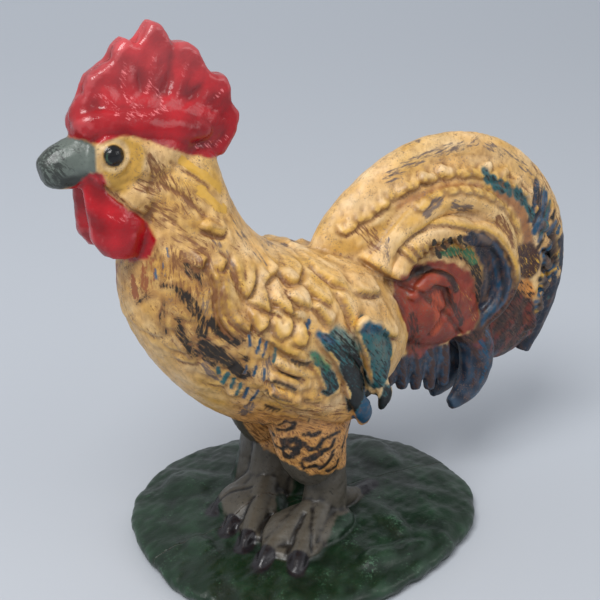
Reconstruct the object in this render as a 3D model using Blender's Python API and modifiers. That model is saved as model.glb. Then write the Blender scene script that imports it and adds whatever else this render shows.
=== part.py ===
"""Full-figure rooster doorstop: two hollow iron half castings and three slotted screws.

The bird faces -X, its left side is at -Y, and the doorstop stands on Z = 0. Both halves are
cast with a shared core hollow, open under the base. They meet on the upright plane Y = 0.
Outline places are (x, z) pairs in millimetres on that plane, before the model is centred.
"""
import math

import bmesh
import bpy
from mathutils import Matrix, Vector
from mathutils.bvhtree import BVHTree

MM = 0.001

# Iron and fits
WALL = 4.5
PARTING_GAP = 0.3
SCREW_CLEARANCE = 0.3
PATTERN_FINENESS = 1.7
CASTING_FACES = 9700
CORE_FINENESS = 3.0
CORE_FACES = 1000
FILLET_PASSES = 3
BALL_SIDES = 28
BALL_RINGS = 18

# Hollows left by the sand core in the tail and in the neck: middles and half sizes
TAIL_CORE = ((74.0, 0.0, 127.0), (60.0, 13.5, 43.0))
NECK_CORE = ((-68.0, 0.0, 190.0), (11.0, 9.0, 17.0), -60.0)

# Well past every side of the figure
CLEAR_REACH = 400.0

# Where the middle of the whole figure lies on the outline drawing
CENTRE_X = 17.45
CENTRE_Y = 3.1

# Base: reach of its uneven edge every 20 degrees, then heights with steps in from that edge
BASE_CENTRE = (3.5, 2.5)
BASE_REACH = (83.5, 82.0, 77.0, 74.0, 75.5, 80.0, 84.5, 87.0, 88.0,
              86.5, 89.5, 90.0, 84.0, 78.5, 75.0, 75.5, 82.0, 85.5)
BASE_SKIRT = 6.0
RIM_HEIGHT = 8.0
RIM_ROUND = 1.5
MOUND_SHOULDER = (10.7, 12.0)
MOUND_SLOPE = (12.2, 34.0)
MOUND_CROWN = (13.8, 60.0)
MOUND_WALL = 4.0

# Low swells on the mound: middle and half sizes
MOUND_SWELLS = (
    ((26.0, -30.0, 7.0), (9.0, 24.0, 7.5)),
    ((10.0, -56.0, 6.0), (28.0, 9.0, 7.5)),
    ((56.0, 20.0, 7.0), (14.0, 24.0, 7.5)),
    ((-40.0, 44.0, 6.5), (20.0, 17.0, 8.0)),
    ((-60.0, -8.0, 6.0), (9.0, 22.0, 7.0)),
)

# The stump behind the legs: height, middle x, half length, half width
STUMP_Y = 27.0
STUMP = (
    (7.0, 3.0, 31.0, 28.0),
    (17.0, 2.0, 24.0, 22.0),
    (38.0, 3.0, 21.0, 18.0),
    (70.0, 1.0, 20.0, 15.0),
)
STUMP_HOLLOW = (
    (5.0, 3.0, 16.0, 13.0),
    (40.0, 3.0, 15.0, 12.0),
    (76.0, 1.0, 14.0, 10.0),
)

# Torso and neck: upper outline, lower outline, half width
TORSO = (
    ((-47.0, 205.0), (-96.0, 196.0), 12.0),
    ((-45.5, 195.0), (-84.0, 184.0), 17.0),
    ((-41.0, 179.0), (-85.5, 170.0), 22.0),
    ((-33.0, 162.0), (-89.0, 152.0), 29.0),
    ((-17.0, 148.5), (-89.5, 132.0), 37.0),
    ((5.0, 143.5), (-79.5, 109.5), 43.0),
    ((24.0, 139.0), (-62.5, 86.0), 44.5),
    ((38.0, 128.0), (-39.0, 67.0), 40.0),
    ((48.0, 113.0), (-6.0, 60.0), 33.0),
    ((56.0, 100.0), (24.0, 66.0), 22.0),
)

# Head: middles and half sizes of its rounded masses; offsets count from the parting plane
HEAD = ((-79.0, 0.0, 201.0), (26.0, 15.5, 17.0), -8.0)
FACE = ((-92.5, 9.5, 201.0), (10.5, 5.0, 12.0), -15.0)
EYE = ((-94.5, 13.6, 204.0), (3.8, 2.6, 3.8), 0.0)
CHEEK = ((-84.0, 9.0, 185.0), (9.0, 6.5, 7.5), -30.0)
BEAK = (
    (-91.0, 0.0, 200.5, 11.5),
    (-100.0, 0.0, 200.5, 11.2),
    (-108.5, 0.0, 199.5, 9.8),
    (-116.0, 0.0, 197.5, 7.2),
    (-119.5, 0.0, 197.0, 4.0),
)
BEAK_FLATNESS = 0.85
WATTLE = (
    (-100.0, 4.5, 196.0, 5.0),
    (-98.5, 5.5, 187.0, 7.0),
    (-93.0, 6.5, 176.0, 11.5),
    (-91.5, 6.5, 168.0, 11.5),
    (-92.0, 6.0, 161.0, 6.0),
)
WATTLE_FLATNESS = 0.62

# Comb: its outline from the beak round to the nape and back along the skull
COMB_OUTLINE = (
    (-104.0, 205.0), (-106.5, 212.0), (-105.0, 219.5), (-101.5, 226.0), (-98.5, 233.0),
    (-93.0, 236.0), (-89.5, 238.0), (-86.5, 243.0), (-82.5, 246.0), (-78.0, 243.5),
    (-75.0, 247.0), (-71.5, 251.5), (-67.5, 250.0), (-62.0, 242.0), (-56.0, 242.0),
    (-51.5, 238.5), (-48.5, 231.5), (-45.0, 228.0), (-40.0, 227.5), (-37.5, 222.0),
    (-38.0, 216.5), (-34.0, 211.0), (-35.5, 203.5), (-42.0, 194.0), (-70.0, 197.0),
    (-97.0, 202.0),
)
COMB_HALF_THICKNESS = 5.5
COMB_EDGE = 2.5
RIB_TIP_SHARE = 0.6

# Ribs that run down the comb from its points: tip, root, half width
COMB_RIBS = (
    ((-95.5, 232.0), (-88.0, 219.0), 5.5),
    ((-82.5, 242.0), (-83.0, 222.0), 5.5),
    ((-71.0, 246.5), (-74.0, 222.0), 5.5),
    ((-56.5, 238.0), (-65.0, 219.0), 5.5),
    ((-42.0, 225.0), (-58.0, 215.0), 5.0),
    ((-37.5, 210.0), (-52.0, 209.0), 4.5),
)
COMB_RIB_OFFSET = 2.0
COMB_SWELL = ((-72.0, 0.0, 212.0), (35.0, 10.5, 15.0), -12.0)
COMB_BROW = ((-77.0, 6.5, 211.5), (29.0, 7.5, 8.0), -10.0)
COMB_FRONT = ((-99.5, 3.5, 214.5), (7.0, 6.5, 6.5), 0.0)

# Wing: (x, offset, z, half width) along the covert mass, then each long feather and short bar
WING = (
    (-44.0, 36.0, 116.0, 10.0),
    (-30.0, 40.0, 108.0, 17.0),
    (-17.0, 40.0, 95.0, 17.0),
    (4.0, 34.0, 79.0, 8.5),
)
WING_FLATNESS = 0.32
PRIMARIES = (
    ((-28.0, 108.0), (-17.0, 97.0), (-4.0, 83.0), 6.0),
    ((-24.0, 116.0), (-15.0, 105.0), (-10.0, 92.0), 5.0),
    ((-18.0, 121.0), (-5.0, 104.0), (4.0, 83.0), 6.5),
    ((2.0, 123.0), (15.0, 109.0), (14.0, 85.0), 7.0),
    ((-2.0, 92.0), (5.0, 81.0), (8.0, 71.0), 5.0),
    ((12.0, 98.0), (16.5, 87.0), (18.0, 75.0), 3.8),
)
PRIMARY_OFFSET = 42.0
PRIMARY_FLATNESS = 0.45
WING_BARS = (
    ((-33.0, 117.0), (-29.0, 115.0), (-23.5, 111.5)),
    ((-40.0, 115.5), (-34.0, 111.0), (-26.0, 106.0)),
    ((-43.0, 109.0), (-36.5, 104.5), (-28.0, 100.0)),
    ((-43.0, 102.0), (-37.0, 98.0), (-29.0, 94.5)),
)
WING_BAR_HALF_WIDTH = 2.6
WING_BAR_OFFSET = 43.5
WING_BAR_SHARES = (0.6, 1.0, 0.9)
WING_BAR_SINK = 1.0

# Along a long wing feather: share of its half width, distance beyond PRIMARY_OFFSET
PRIMARY_PROFILE = ((0.6, 0.0), (1.1, 2.0), (1.0, -4.0), (0.4, -6.0))
PRIMARY_BLUNTNESS = 3.0

# Tail
TAIL_CENTRE = (75.5, 107.0)
TAIL_RADIUS = 82.0
TAIL_HALF_THICKNESS = 17.0
TAIL_FAN_SHIFT = (-3.0, 23.0)
TAIL_FAN_HALF_HEIGHT = 52.0
TAIL_REAR = ((112.0, 0.0, 96.0), (32.0, 12.0, 34.0), 30.0)
RIM_BAND_HALF_WIDTH = 9.0
RIM_BAND_HALF_THICKNESS = 7.5
RIM_BAND_SHARES = (1.1, 1.1, 1.05, 1.0, 0.95, 0.95, 1.0, 1.0, 0.9, 0.5)
RIM_START = 160.0
RIM_STOP = -38.0

# Sickle feathers on each face of the tail: middle of the arc from the tail's centre, step in
# from the tail's edge, first and last angle, half width, distance from the parting plane
SICKLES = (
    ((-1.5, 4.0), 24.0, 168.0, -30.0, 6.0, 9.0),
    ((-7.5, 13.0), 40.0, 165.0, -30.0, 6.0, 14.0),
    ((-11.5, 13.0), 55.0, 160.0, 40.0, 5.5, 17.0),
    ((4.5, 10.0), 57.0, 100.0, -80.0, 5.5, 15.0),
)
SICKLE_TAPER = (1.0, 1.0, 1.0, 1.0, 0.95, 0.85, 0.5)
SICKLE_FLATNESS = 0.8
TAIL_ROOT = ((60.0, 8.0, 108.0), (34.0, 14.0, 22.0), -20.0)
INNER_CURL = ((58.0, 113.0), 14.0, 165.0, -60.0)
INNER_CURL_SHARES = (0.6, 1.0, 1.0, 0.9, 0.5)
INNER_CURL_HALF_WIDTH = 4.5
INNER_CURL_OFFSET = 20.0
LOW_SICKLE = (
    (70.0, 12.0, 102.0, 9.0),
    (88.0, 11.0, 94.0, 10.0),
    (99.0, 9.0, 74.0, 10.0),
    (93.0, 8.0, 52.0, 8.5),
    (80.0, 8.0, 47.5, 3.5),
)
COVERT_FEET = ((42.0, 68.0), (50.0, 64.5), (58.5, 62.0), (67.0, 60.0), (75.5, 60.0))
COVERT_TOP = 96.0
COVERT_KNEE = 82.0
COVERT_LEAN = 10.0
COVERT_KNEE_LEAN = 2.0
COVERT_OFFSET = 10.0
COVERT_HALF_WIDTH = 5.8
COVERT_TUCK = 2.0

# Barbs across the sickles: sickle number, first and last angle, step, inner and outer reach
# from the sickle's middle line, lean of the outer end
BARB_ROWS = (
    (0, 164.0, 84.0, 10.0, -1.0, 5.5, 9.0),
    (0, 84.0, -26.0, 10.0, -2.0, 6.0, -9.0),
    (1, 150.0, 20.0, 13.0, 1.0, -6.0, 8.0),
)
BARB_HALF_WIDTH = 2.9
BARB_BEDDING = 1.0

# Along a barb: share of its length, share of its half width, lift
BARB_PROFILE = ((0.0, 0.7, -1.0), (0.5, 1.0, 0.0), (1.0, 0.8, -1.0))

# Feathers laid on the torso from root to tip, each with its half width
FEATHERS = (
    (((-64.0, 163.0), (-64.0, 157.0), (-61.0, 150.0)), 3.0),
    (((-53.0, 165.0), (-54.5, 155.0), (-55.0, 143.0), (-50.0, 128.0)), 5.0),
    (((-61.5, 150.0), (-61.5, 139.0), (-59.0, 131.0), (-53.0, 125.0)), 2.4),
    (((-46.0, 163.0), (-44.5, 156.0), (-46.0, 150.0), (-50.0, 143.5)), 4.2),
    (((-42.0, 156.0), (-42.0, 149.0), (-42.0, 143.0), (-41.0, 136.5)), 4.8),
    (((-33.0, 150.0), (-36.0, 146.0), (-35.0, 140.0), (-31.0, 133.5)), 4.8),
    (((-27.0, 146.0), (-25.5, 141.0), (-20.0, 133.5)), 4.6),
    (((-14.0, 148.0), (-14.0, 142.0), (-12.0, 138.0), (-8.0, 130.5)), 3.8),
    (((-8.0, 147.0), (-3.0, 142.0), (1.0, 138.0), (6.0, 132.0)), 3.8),
    (((-49.0, 143.0), (-46.5, 137.0), (-45.0, 129.0)), 5.6),
    (((-38.0, 138.0), (-35.0, 133.0), (-36.0, 125.0)), 5.6),
    (((-28.0, 137.0), (-26.0, 131.0), (-25.0, 120.5)), 5.4),
    (((-17.0, 136.0), (-13.0, 130.0), (-12.0, 121.0)), 5.0),
    (((-5.0, 137.0), (-2.0, 129.0), (-1.5, 116.0)), 4.4),
    (((4.0, 142.0), (12.0, 136.0), (22.0, 128.5), (37.0, 116.5)), 4.6),
    (((14.0, 140.0), (24.0, 134.5), (37.0, 123.0)), 4.0),
    (((5.0, 133.0), (9.0, 126.0), (10.0, 116.0)), 4.4),
    (((18.0, 127.0), (24.0, 117.0), (28.0, 103.0)), 5.4),
    (((-78.0, 170.0), (-75.0, 160.0), (-77.0, 148.0)), 4.6),
    (((-70.0, 170.0), (-69.0, 158.0), (-70.0, 145.0)), 4.4),
)

# Soft folds of skin on the neck: points and half width
NECK_FOLDS = (
    (((-74.0, 194.0), (-66.0, 190.0), (-58.0, 182.0), (-53.0, 176.0)), 4.0),
    (((-75.0, 186.0), (-67.0, 179.0), (-60.0, 171.0)), 4.0),
    (((-57.0, 176.0), (-52.0, 170.0), (-50.0, 163.0)), 3.6),
)
BREAST_ROWS = 5
BREAST_COLUMNS = 4
BREAST_FIRST = (-76.0, 130.0)
BREAST_STEP = (9.5, -11.5)
BREAST_ROW_STEP = (9.0, 5.0)
BREAST_FEATHER = (5.0, -11.0)
BREAST_HALF_WIDTH = 4.8
FEATHER_FLATNESS = 0.5
FEATHER_ROOT_SINK = 2.0
FEATHER_TIP_LIFT = 0.8
FEATHER_ROOT_SHARE = 0.55
FEATHER_FULLEST = 0.385
FEATHER_TIP_TAPER = 0.3

# Thighs, legs and toes on each side: (x, offset, z, half width) points
LEFT_THIGH = (
    (-8.0, 17.0, 80.0, 21.0),
    (-10.0, 20.0, 63.0, 20.0),
    (-10.0, 20.0, 51.0, 17.0),
    (-5.0, 19.0, 42.0, 11.0),
)
RIGHT_THIGH = (
    (-17.0, 14.0, 80.0, 19.0),
    (-18.0, 17.0, 63.0, 16.5),
    (-15.0, 16.0, 53.0, 12.5),
    (-13.0, 15.0, 47.0, 9.0),
)
THIGH_FLATNESS = 0.85
LEFT_SHANK = ((1.0, 18.0, 54.0, 9.5), (1.5, 17.0, 34.0, 10.0), (0.0, 17.0, 18.0, 12.0))
RIGHT_SHANK = ((-10.0, 15.0, 56.0, 8.5), (-9.5, 15.0, 34.0, 9.5), (-12.0, 15.0, 18.0, 12.5))
SHANK_FLATNESS = 0.8
HIP_REACH = (24.0, 18.0, 24.0)
HIP_HEIGHT = 80.0
HIP_TURN = -30.0

# Feet: plan outline of each web as (x, y), and toe and claw ends as (x, y, z)
FOOT_BOTTOM = 8.0
FOOT_TOP = 15.5
WEB_EDGE = 2.0
LEFT_INSTEP = ((-12.0, -22.0, 14.0), (24.0, 16.0, 8.0))
RIGHT_INSTEP = ((-25.0, 9.0, 14.5), (17.0, 17.0, 9.0))
LEFT_WEB = ((12.0, -8.0), (-1.0, -28.0), (-19.0, -43.0), (-30.0, -43.0), (-39.0, -31.0),
            (-38.0, -22.0), (-17.0, -10.0), (-5.0, -6.0))
RIGHT_WEB = ((-4.0, 32.0), (-21.0, 30.0), (-36.0, 22.0), (-40.0, 6.0), (-41.0, -12.0),
             (-37.0, -22.0), (-24.0, -12.0), (-18.0, 1.0), (-6.0, 7.0))
LEFT_ANKLE = (0.0, -17.0, 23.0)
RIGHT_ANKLE = (-12.0, 15.0, 24.0)
LEFT_TOES = (
    ((-37.0, -29.0, 13.5), (-45.5, -35.5, 11.0)),
    ((-27.5, -40.0, 13.5), (-33.5, -47.0, 11.0)),
    ((23.0, -9.0, 13.0), (36.0, -4.0, 11.5)),
)
RIGHT_TOES = (
    ((-36.0, 18.0, 13.5), (-44.0, 13.0, 11.0)),
    ((-38.0, 1.5, 13.5), (-46.5, -5.0, 11.0)),
    ((-38.5, -13.0, 13.5), (-46.0, -20.0, 11.0)),
)
TOE_HALF_WIDTHS = (7.0, 5.4, 4.2)
CLAW_HALF_WIDTHS = (3.8, 3.7, 2.0)
CLAW_ARCH = 1.0

# Screws
SCREW_PLACES = {
    "neck_screw": (-60.0, 166.0),
    "tail_screw": (70.0, 128.0),
    "belly_screw": (2.0, 74.0),
}
SCREW_DIAMETER = 5.0
SCREW_HEAD_DIAMETER = 9.0
SCREW_HEAD_HEIGHT = 3.2
SCREW_SEAT = 14.0
SCREW_REACH = 13.0
SLOT_WIDTH = 1.2
SLOT_DEPTH = 1.4
SCREW_POINT = 0.8
CROWN_PROFILE = ((0.55, 0.25), (0.88, 1.0), (1.0, 2.2))
WELL_CLEARANCE = 0.8
HOLE_END_ROOM = 0.7
BOSS_RADIUS = 7.5
BOSS_REACH = 60.0
SCREW_SIDES = 16
ROD_SIDES = 24

LEFT = -1.0
RIGHT = 1.0
RING_SIDES = 20
BUILD_NAME = "rooster_doorstop"


def clear_scene():
    for thing in list(bpy.data.objects):
        bpy.data.objects.remove(thing, do_unlink=True)


def make_collection(name):
    group = bpy.data.collections.new(name)
    bpy.context.scene.collection.children.link(group)
    return group


def make_material(name, colour, roughness, metallic):
    material = bpy.data.materials.new(name)
    material.use_nodes = True
    shader = material.node_tree.nodes["Principled BSDF"]
    shader.inputs["Base Color"].default_value = (*colour, 1.0)
    shader.inputs["Roughness"].default_value = roughness
    shader.inputs["Metallic"].default_value = metallic
    return material


def add_object(name, data, group):
    thing = bpy.data.objects.new(name, data)
    group.objects.link(thing)
    return thing


def finished_mesh(thing, name):
    """The mesh an object shows with its modifiers or bevel, caps welded, in world space."""
    bpy.context.view_layer.update()
    graph = bpy.context.evaluated_depsgraph_get()
    mesh = bpy.data.meshes.new_from_object(thing.evaluated_get(graph), depsgraph=graph)
    mesh.name = name
    mesh.transform(thing.matrix_world)
    form = bmesh.new()
    form.from_mesh(mesh)
    bmesh.ops.remove_doubles(form, verts=form.verts, dist=0.00002)
    bmesh.ops.recalc_face_normals(form, faces=form.faces)
    form.to_mesh(mesh)
    form.free()
    return mesh


def settle(thing):
    """Replace an object by its finished mesh and return that mesh."""
    mesh = finished_mesh(thing, thing.name)
    bpy.data.objects.remove(thing, do_unlink=True)
    return mesh


def soften(thing, levels):
    surface = thing.modifiers.new("Soften", "SUBSURF")
    surface.levels = levels
    surface.render_levels = levels


def bridged(name, rings, group, levels=1):
    """A closed skin over rings of equal count. A ring is (centre, reach along u, reach along v)."""
    form = bmesh.new()
    loops = []
    for centre, u_reach, v_reach in rings:
        made = bmesh.ops.create_circle(form, segments=RING_SIDES, radius=1.0)
        for vert in made["verts"]:
            spot = vert.co.copy()
            vert.co = (centre + u_reach * spot.x + v_reach * spot.y) * MM
        edges = {edge for vert in made["verts"] for edge in vert.link_edges}
        loops.append(list(edges))
    for lower, upper in zip(loops, loops[1:]):
        bmesh.ops.bridge_loops(form, edges=lower + upper)
    for end in (loops[0], loops[-1]):
        bmesh.ops.contextual_create(form, geom=end)
    bmesh.ops.recalc_face_normals(form, faces=form.faces)
    mesh = bpy.data.meshes.new(name)
    form.to_mesh(mesh)
    form.free()
    skin = add_object(name, mesh, group)
    soften(skin, levels)
    return settle(skin)


def spine_loft(name, sections, group, inset=0.0):
    """A body through sections that each span from an upper to a lower outline point."""
    rings = []
    for upper, lower, half_width in sections:
        top = Vector((upper[0], 0.0, upper[1]))
        foot = Vector((lower[0], 0.0, lower[1]))
        reach = (top - foot) / 2
        reach = reach.normalized() * (reach.length - inset)
        rings.append(((top + foot) / 2, reach, Vector((0.0, half_width - inset, 0.0))))
    return bridged(name, rings, group)


def level_stack(name, layers, centre_y, group):
    """An upright form through level ovals: (height, middle x, half length, half width)."""
    rings = []
    for height, centre_x, half_length, half_width in layers:
        centre = Vector((centre_x, centre_y, height))
        rings.append((centre, Vector((half_length, 0.0, 0.0)), Vector((0.0, half_width, 0.0))))
    return bridged(name, rings, group)


def base_stack(name, layers, group):
    """The base through level outlines of the uneven base edge: (height, shrink)."""
    form = bmesh.new()
    loops = []
    sides = 2 * len(BASE_REACH)
    for height, shrink in layers:
        made = bmesh.ops.create_circle(form, segments=sides, radius=1.0)
        for vert in made["verts"]:
            turn = math.atan2(vert.co.y, vert.co.x) / (2 * math.pi) * len(BASE_REACH)
            before = int(math.floor(turn + 1e-4))
            share = turn - before
            reach = BASE_REACH[before % len(BASE_REACH)] * (1 - share)
            reach += BASE_REACH[(before + 1) % len(BASE_REACH)] * share
            spread = vert.co.normalized() * (reach - shrink)
            vert.co = Vector((BASE_CENTRE[0] + spread.x, BASE_CENTRE[1] + spread.y, height)) * MM
        edges = {edge for vert in made["verts"] for edge in vert.link_edges}
        loops.append(list(edges))
    for lower, upper in zip(loops, loops[1:]):
        bmesh.ops.bridge_loops(form, edges=lower + upper)
    for end in (loops[0], loops[-1]):
        bmesh.ops.contextual_create(form, geom=end)
    bmesh.ops.recalc_face_normals(form, faces=form.faces)
    mesh = bpy.data.meshes.new(name)
    form.to_mesh(mesh)
    form.free()
    skin = add_object(name, mesh, group)
    soften(skin, 1)
    return settle(skin)


def ball(name, centre, reach, turn=0.0, side=RIGHT):
    """An ellipsoid; turn lifts its long axis from +X towards +Z, in degrees."""
    form = bmesh.new()
    place = Matrix.Translation(Vector((centre[0], side * centre[1], centre[2])) * MM)
    place @= Matrix.Rotation(-math.radians(turn), 4, "Y")
    place @= Matrix.Diagonal((*[size * MM for size in reach], 1.0))
    bmesh.ops.create_uvsphere(form, u_segments=BALL_SIDES, v_segments=BALL_RINGS, radius=1.0,
                              matrix=place)
    mesh = bpy.data.meshes.new(name)
    form.to_mesh(mesh)
    form.free()
    return mesh


def plate(name, outline, half_thickness, edge, place, group):
    """A flat outline of the given half thickness with rounded edges, laid by a matrix."""
    curve = bpy.data.curves.new(name, "CURVE")
    curve.dimensions = "2D"
    curve.fill_mode = "BOTH"
    curve.extrude = (half_thickness - edge) * MM
    curve.bevel_depth = edge * MM
    curve.bevel_resolution = 2
    curve.offset = -edge * MM
    spline = curve.splines.new("POLY")
    spline.points.add(len(outline) - 1)
    for point, (across, up) in zip(spline.points, outline):
        point.co = (across * MM, up * MM, 0.0, 1.0)
    spline.use_cyclic_u = True
    sheet = add_object(name, curve, group)
    sheet.matrix_world = place
    return settle(sheet)


def strip(name, path, group, flatness=1.0, side=LEFT):
    """A tapered strip along (x, offset, z, half width) points, pressed flat across the model."""
    curve = bpy.data.curves.new(name, "CURVE")
    curve.dimensions = "3D"
    curve.bevel_depth = MM
    curve.bevel_resolution = 3
    curve.use_fill_caps = True
    curve.resolution_u = 4
    spline = curve.splines.new("NURBS")
    spline.points.add(len(path) - 1)
    for point, (x, offset, z, half_width) in zip(spline.points, path):
        point.co = (x * MM, side * offset * MM / flatness, z * MM, 1.0)
        point.radius = half_width
    spline.order_u = min(4, len(path))
    spline.use_endpoint_u = True
    strand = add_object(name, curve, group)
    strand.scale = (1.0, flatness, 1.0)
    return settle(strand)


def on_arc(centre, radius, degrees):
    angle = math.radians(degrees)
    return centre[0] + radius * math.cos(angle), centre[1] + radius * math.sin(angle)


def arc_strip(name, centre, radius, start, stop, half_widths, offset, group, flatness, side):
    """A strip that follows a circle arc seen from the side, with evenly spaced half widths."""
    count = len(half_widths)
    path = []
    for index, half_width in enumerate(half_widths):
        degrees = start + (stop - start) * index / (count - 1)
        x, z = on_arc(centre, radius, degrees)
        path.append((x, offset, z, half_width))
    return strip(name, path, group, flatness, side)


def base_forms(group):
    rim = ((-BASE_SKIRT, 0.0), (RIM_HEIGHT - RIM_ROUND, 0.0), (RIM_HEIGHT, RIM_ROUND))
    layers = rim + (MOUND_SHOULDER, MOUND_SLOPE, MOUND_CROWN)
    forms = [base_stack("mound", layers, group)]
    forms.append(level_stack("stump", STUMP, STUMP_Y, group))
    for swell in MOUND_SWELLS:
        forms.append(ball("mound_swell", *swell))
    return forms


def head_forms(group):
    forms = [ball("head", *HEAD), strip("beak", BEAK, group, BEAK_FLATNESS)]
    for side in (LEFT, RIGHT):
        forms.append(ball("face", *FACE, side))
        forms.append(ball("eye", *EYE, side))
        forms.append(ball("cheek", *CHEEK, side))
        forms.append(strip("wattle", WATTLE, group, WATTLE_FLATNESS, side))
    return forms


def comb_forms(group):
    """A thick plate with the comb's outline, its ribs, and the swellings over skull and eyes."""
    upright = Matrix.Rotation(math.radians(90.0), 4, "X")
    forms = [plate("comb", COMB_OUTLINE, COMB_HALF_THICKNESS, COMB_EDGE, upright, group)]
    forms.append(ball("comb_swell", *COMB_SWELL))
    for side in (LEFT, RIGHT):
        forms.append(ball("comb_brow", *COMB_BROW, side))
        forms.append(ball("comb_front", *COMB_FRONT, side))
        for (tip_x, tip_z), (root_x, root_z), half_width in COMB_RIBS:
            rib = (
                (tip_x, 0.0, tip_z, half_width * RIB_TIP_SHARE),
                ((tip_x * 2 + root_x) / 3, COMB_RIB_OFFSET, (tip_z * 2 + root_z) / 3, half_width),
                (root_x, COMB_RIB_OFFSET, root_z, half_width),
            )
            forms.append(strip("comb_rib", rib, group, side=side))
    return forms


def wing_forms(group):
    forms = []
    for side in (LEFT, RIGHT):
        forms.append(strip("wing", WING, group, WING_FLATNESS, side))
        for root, middle, tip, half_width in PRIMARIES:
            spots = (root, middle, (tip[0], tip[1] + PRIMARY_BLUNTNESS), tip)
            feather = []
            for (x, z), (share, lift) in zip(spots, PRIMARY_PROFILE):
                feather.append((x, PRIMARY_OFFSET + lift, z, half_width * share))
            forms.append(strip("primary", feather, group, PRIMARY_FLATNESS, side))
        for spots in WING_BARS:
            bar = []
            for (x, z), share in zip(spots, WING_BAR_SHARES):
                offset = WING_BAR_OFFSET - (WING_BAR_SINK if share < 1.0 else 0.0)
                bar.append((x, offset, z, WING_BAR_HALF_WIDTH * share))
            forms.append(strip("wing_bar", bar, group, 1.0, side))
    return forms


def skin_offset(skin, x, z):
    """How far the torso's surface lies from the parting plane at a side-view place."""
    spot = skin.ray_cast(Vector((x, -CLEAR_REACH, z)) * MM, Vector((0.0, 1.0, 0.0)))[0]
    return 0.0 if spot is None else -spot.y / MM


def leaf(name, points, half_width, skin, group, side):
    """A feather that lies on the torso, sunk at its root and lifted at its tip."""
    path = []
    last = len(points) - 1
    for index, (x, z) in enumerate(points):
        share = index / last
        swell = math.sin(math.pi / 2 * min(2.0, share / FEATHER_FULLEST))
        width = FEATHER_ROOT_SHARE + (1.0 - FEATHER_ROOT_SHARE) * swell - FEATHER_TIP_TAPER * share
        lift = FEATHER_TIP_LIFT * share - FEATHER_ROOT_SINK * (1.0 - share)
        path.append((x, skin_offset(skin, x, z) + lift, z, half_width * width))
    return strip(name, path, group, FEATHER_FLATNESS, side)


def plumage_forms(torso, group):
    """Neck folds, hackles, scales and saddle feathers, then rows of lappets on the breast."""
    form = bmesh.new()
    form.from_mesh(torso)
    skin = BVHTree.FromBMesh(form)
    form.free()
    feathers = list(FEATHERS + NECK_FOLDS)
    for row in range(BREAST_ROWS):
        for column in range(BREAST_COLUMNS):
            x = BREAST_FIRST[0] + BREAST_STEP[0] * row + BREAST_ROW_STEP[0] * column
            z = BREAST_FIRST[1] + BREAST_STEP[1] * row + BREAST_ROW_STEP[1] * column
            middle = (x + BREAST_FEATHER[0] / 2, z + BREAST_FEATHER[1] / 2)
            tip = (x + BREAST_FEATHER[0], z + BREAST_FEATHER[1])
            feathers.append((((x, z), middle, tip), BREAST_HALF_WIDTH))
    forms = []
    for side in (LEFT, RIGHT):
        for points, half_width in feathers:
            forms.append(leaf("feather", points, half_width, skin, group, side))
    return forms


def sickle_place(number):
    """Middle of a sickle feather's arc, and the arc's radius."""
    (shift_x, shift_z), step = SICKLES[number][:2]
    return (TAIL_CENTRE[0] + shift_x, TAIL_CENTRE[1] + shift_z), TAIL_RADIUS - step


def barb_forms(side, group):
    """Short lumps that lean across the sickles, row by row."""
    forms = []
    for number, start, stop, step, inner, outer, lean in BARB_ROWS:
        centre, radius = sickle_place(number)
        half_width, offset = SICKLES[number][4:]
        face = offset + half_width * SICKLE_FLATNESS - BARB_BEDDING
        for index in range(int((start - stop) / step)):
            degrees = start - step * (index + 0.5)
            path = []
            for share, width, lift in BARB_PROFILE:
                reach = radius + inner + (outer - inner) * share
                x, z = on_arc(centre, reach, degrees + lean * share)
                path.append((x, face + lift, z, BARB_HALF_WIDTH * width))
            forms.append(strip("barb", path, group, SICKLE_FLATNESS, side))
    return forms


def tail_forms(group):
    """A thick fan with a rim band, and on each face the sickle feathers and the low coverts."""
    middle = (TAIL_CENTRE[0] + TAIL_FAN_SHIFT[0], 0.0, TAIL_CENTRE[1] + TAIL_FAN_SHIFT[1])
    reach = (TAIL_RADIUS - RIM_BAND_HALF_WIDTH, TAIL_HALF_THICKNESS, TAIL_FAN_HALF_HEIGHT)
    forms = [ball("tail_fan", middle, reach), ball("tail_rear", *TAIL_REAR)]
    rim_radius = TAIL_RADIUS - RIM_BAND_HALF_WIDTH
    flatness = RIM_BAND_HALF_THICKNESS / RIM_BAND_HALF_WIDTH
    widths = [RIM_BAND_HALF_WIDTH * share for share in RIM_BAND_SHARES]
    forms.append(arc_strip("tail_rim", TAIL_CENTRE, rim_radius, RIM_START, RIM_STOP, widths, 0.0,
                           group, flatness, LEFT))
    curl = [INNER_CURL_HALF_WIDTH * share for share in INNER_CURL_SHARES]
    for side in (LEFT, RIGHT):
        for number, (_, _, start, stop, half_width, offset) in enumerate(SICKLES):
            centre, radius = sickle_place(number)
            widths = [half_width * share for share in SICKLE_TAPER]
            forms.append(arc_strip("sickle", centre, radius, start, stop, widths, offset, group,
                                   SICKLE_FLATNESS, side))
        forms += barb_forms(side, group)
        forms.append(ball("tail_root", *TAIL_ROOT, side))
        forms.append(arc_strip("inner_curl", *INNER_CURL, curl, INNER_CURL_OFFSET, group,
                               SICKLE_FLATNESS, side))
        forms.append(strip("low_sickle", LOW_SICKLE, group, SICKLE_FLATNESS, side))
        for foot_x, foot_z in COVERT_FEET:
            covert = (
                (foot_x - COVERT_LEAN, COVERT_OFFSET, COVERT_TOP, COVERT_HALF_WIDTH),
                (foot_x - COVERT_KNEE_LEAN, COVERT_OFFSET, COVERT_KNEE, COVERT_HALF_WIDTH),
                (foot_x, COVERT_OFFSET - COVERT_TUCK, foot_z, COVERT_HALF_WIDTH / 2),
            )
            forms.append(strip("covert", covert, group, SICKLE_FLATNESS, side))
    return forms


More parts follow.
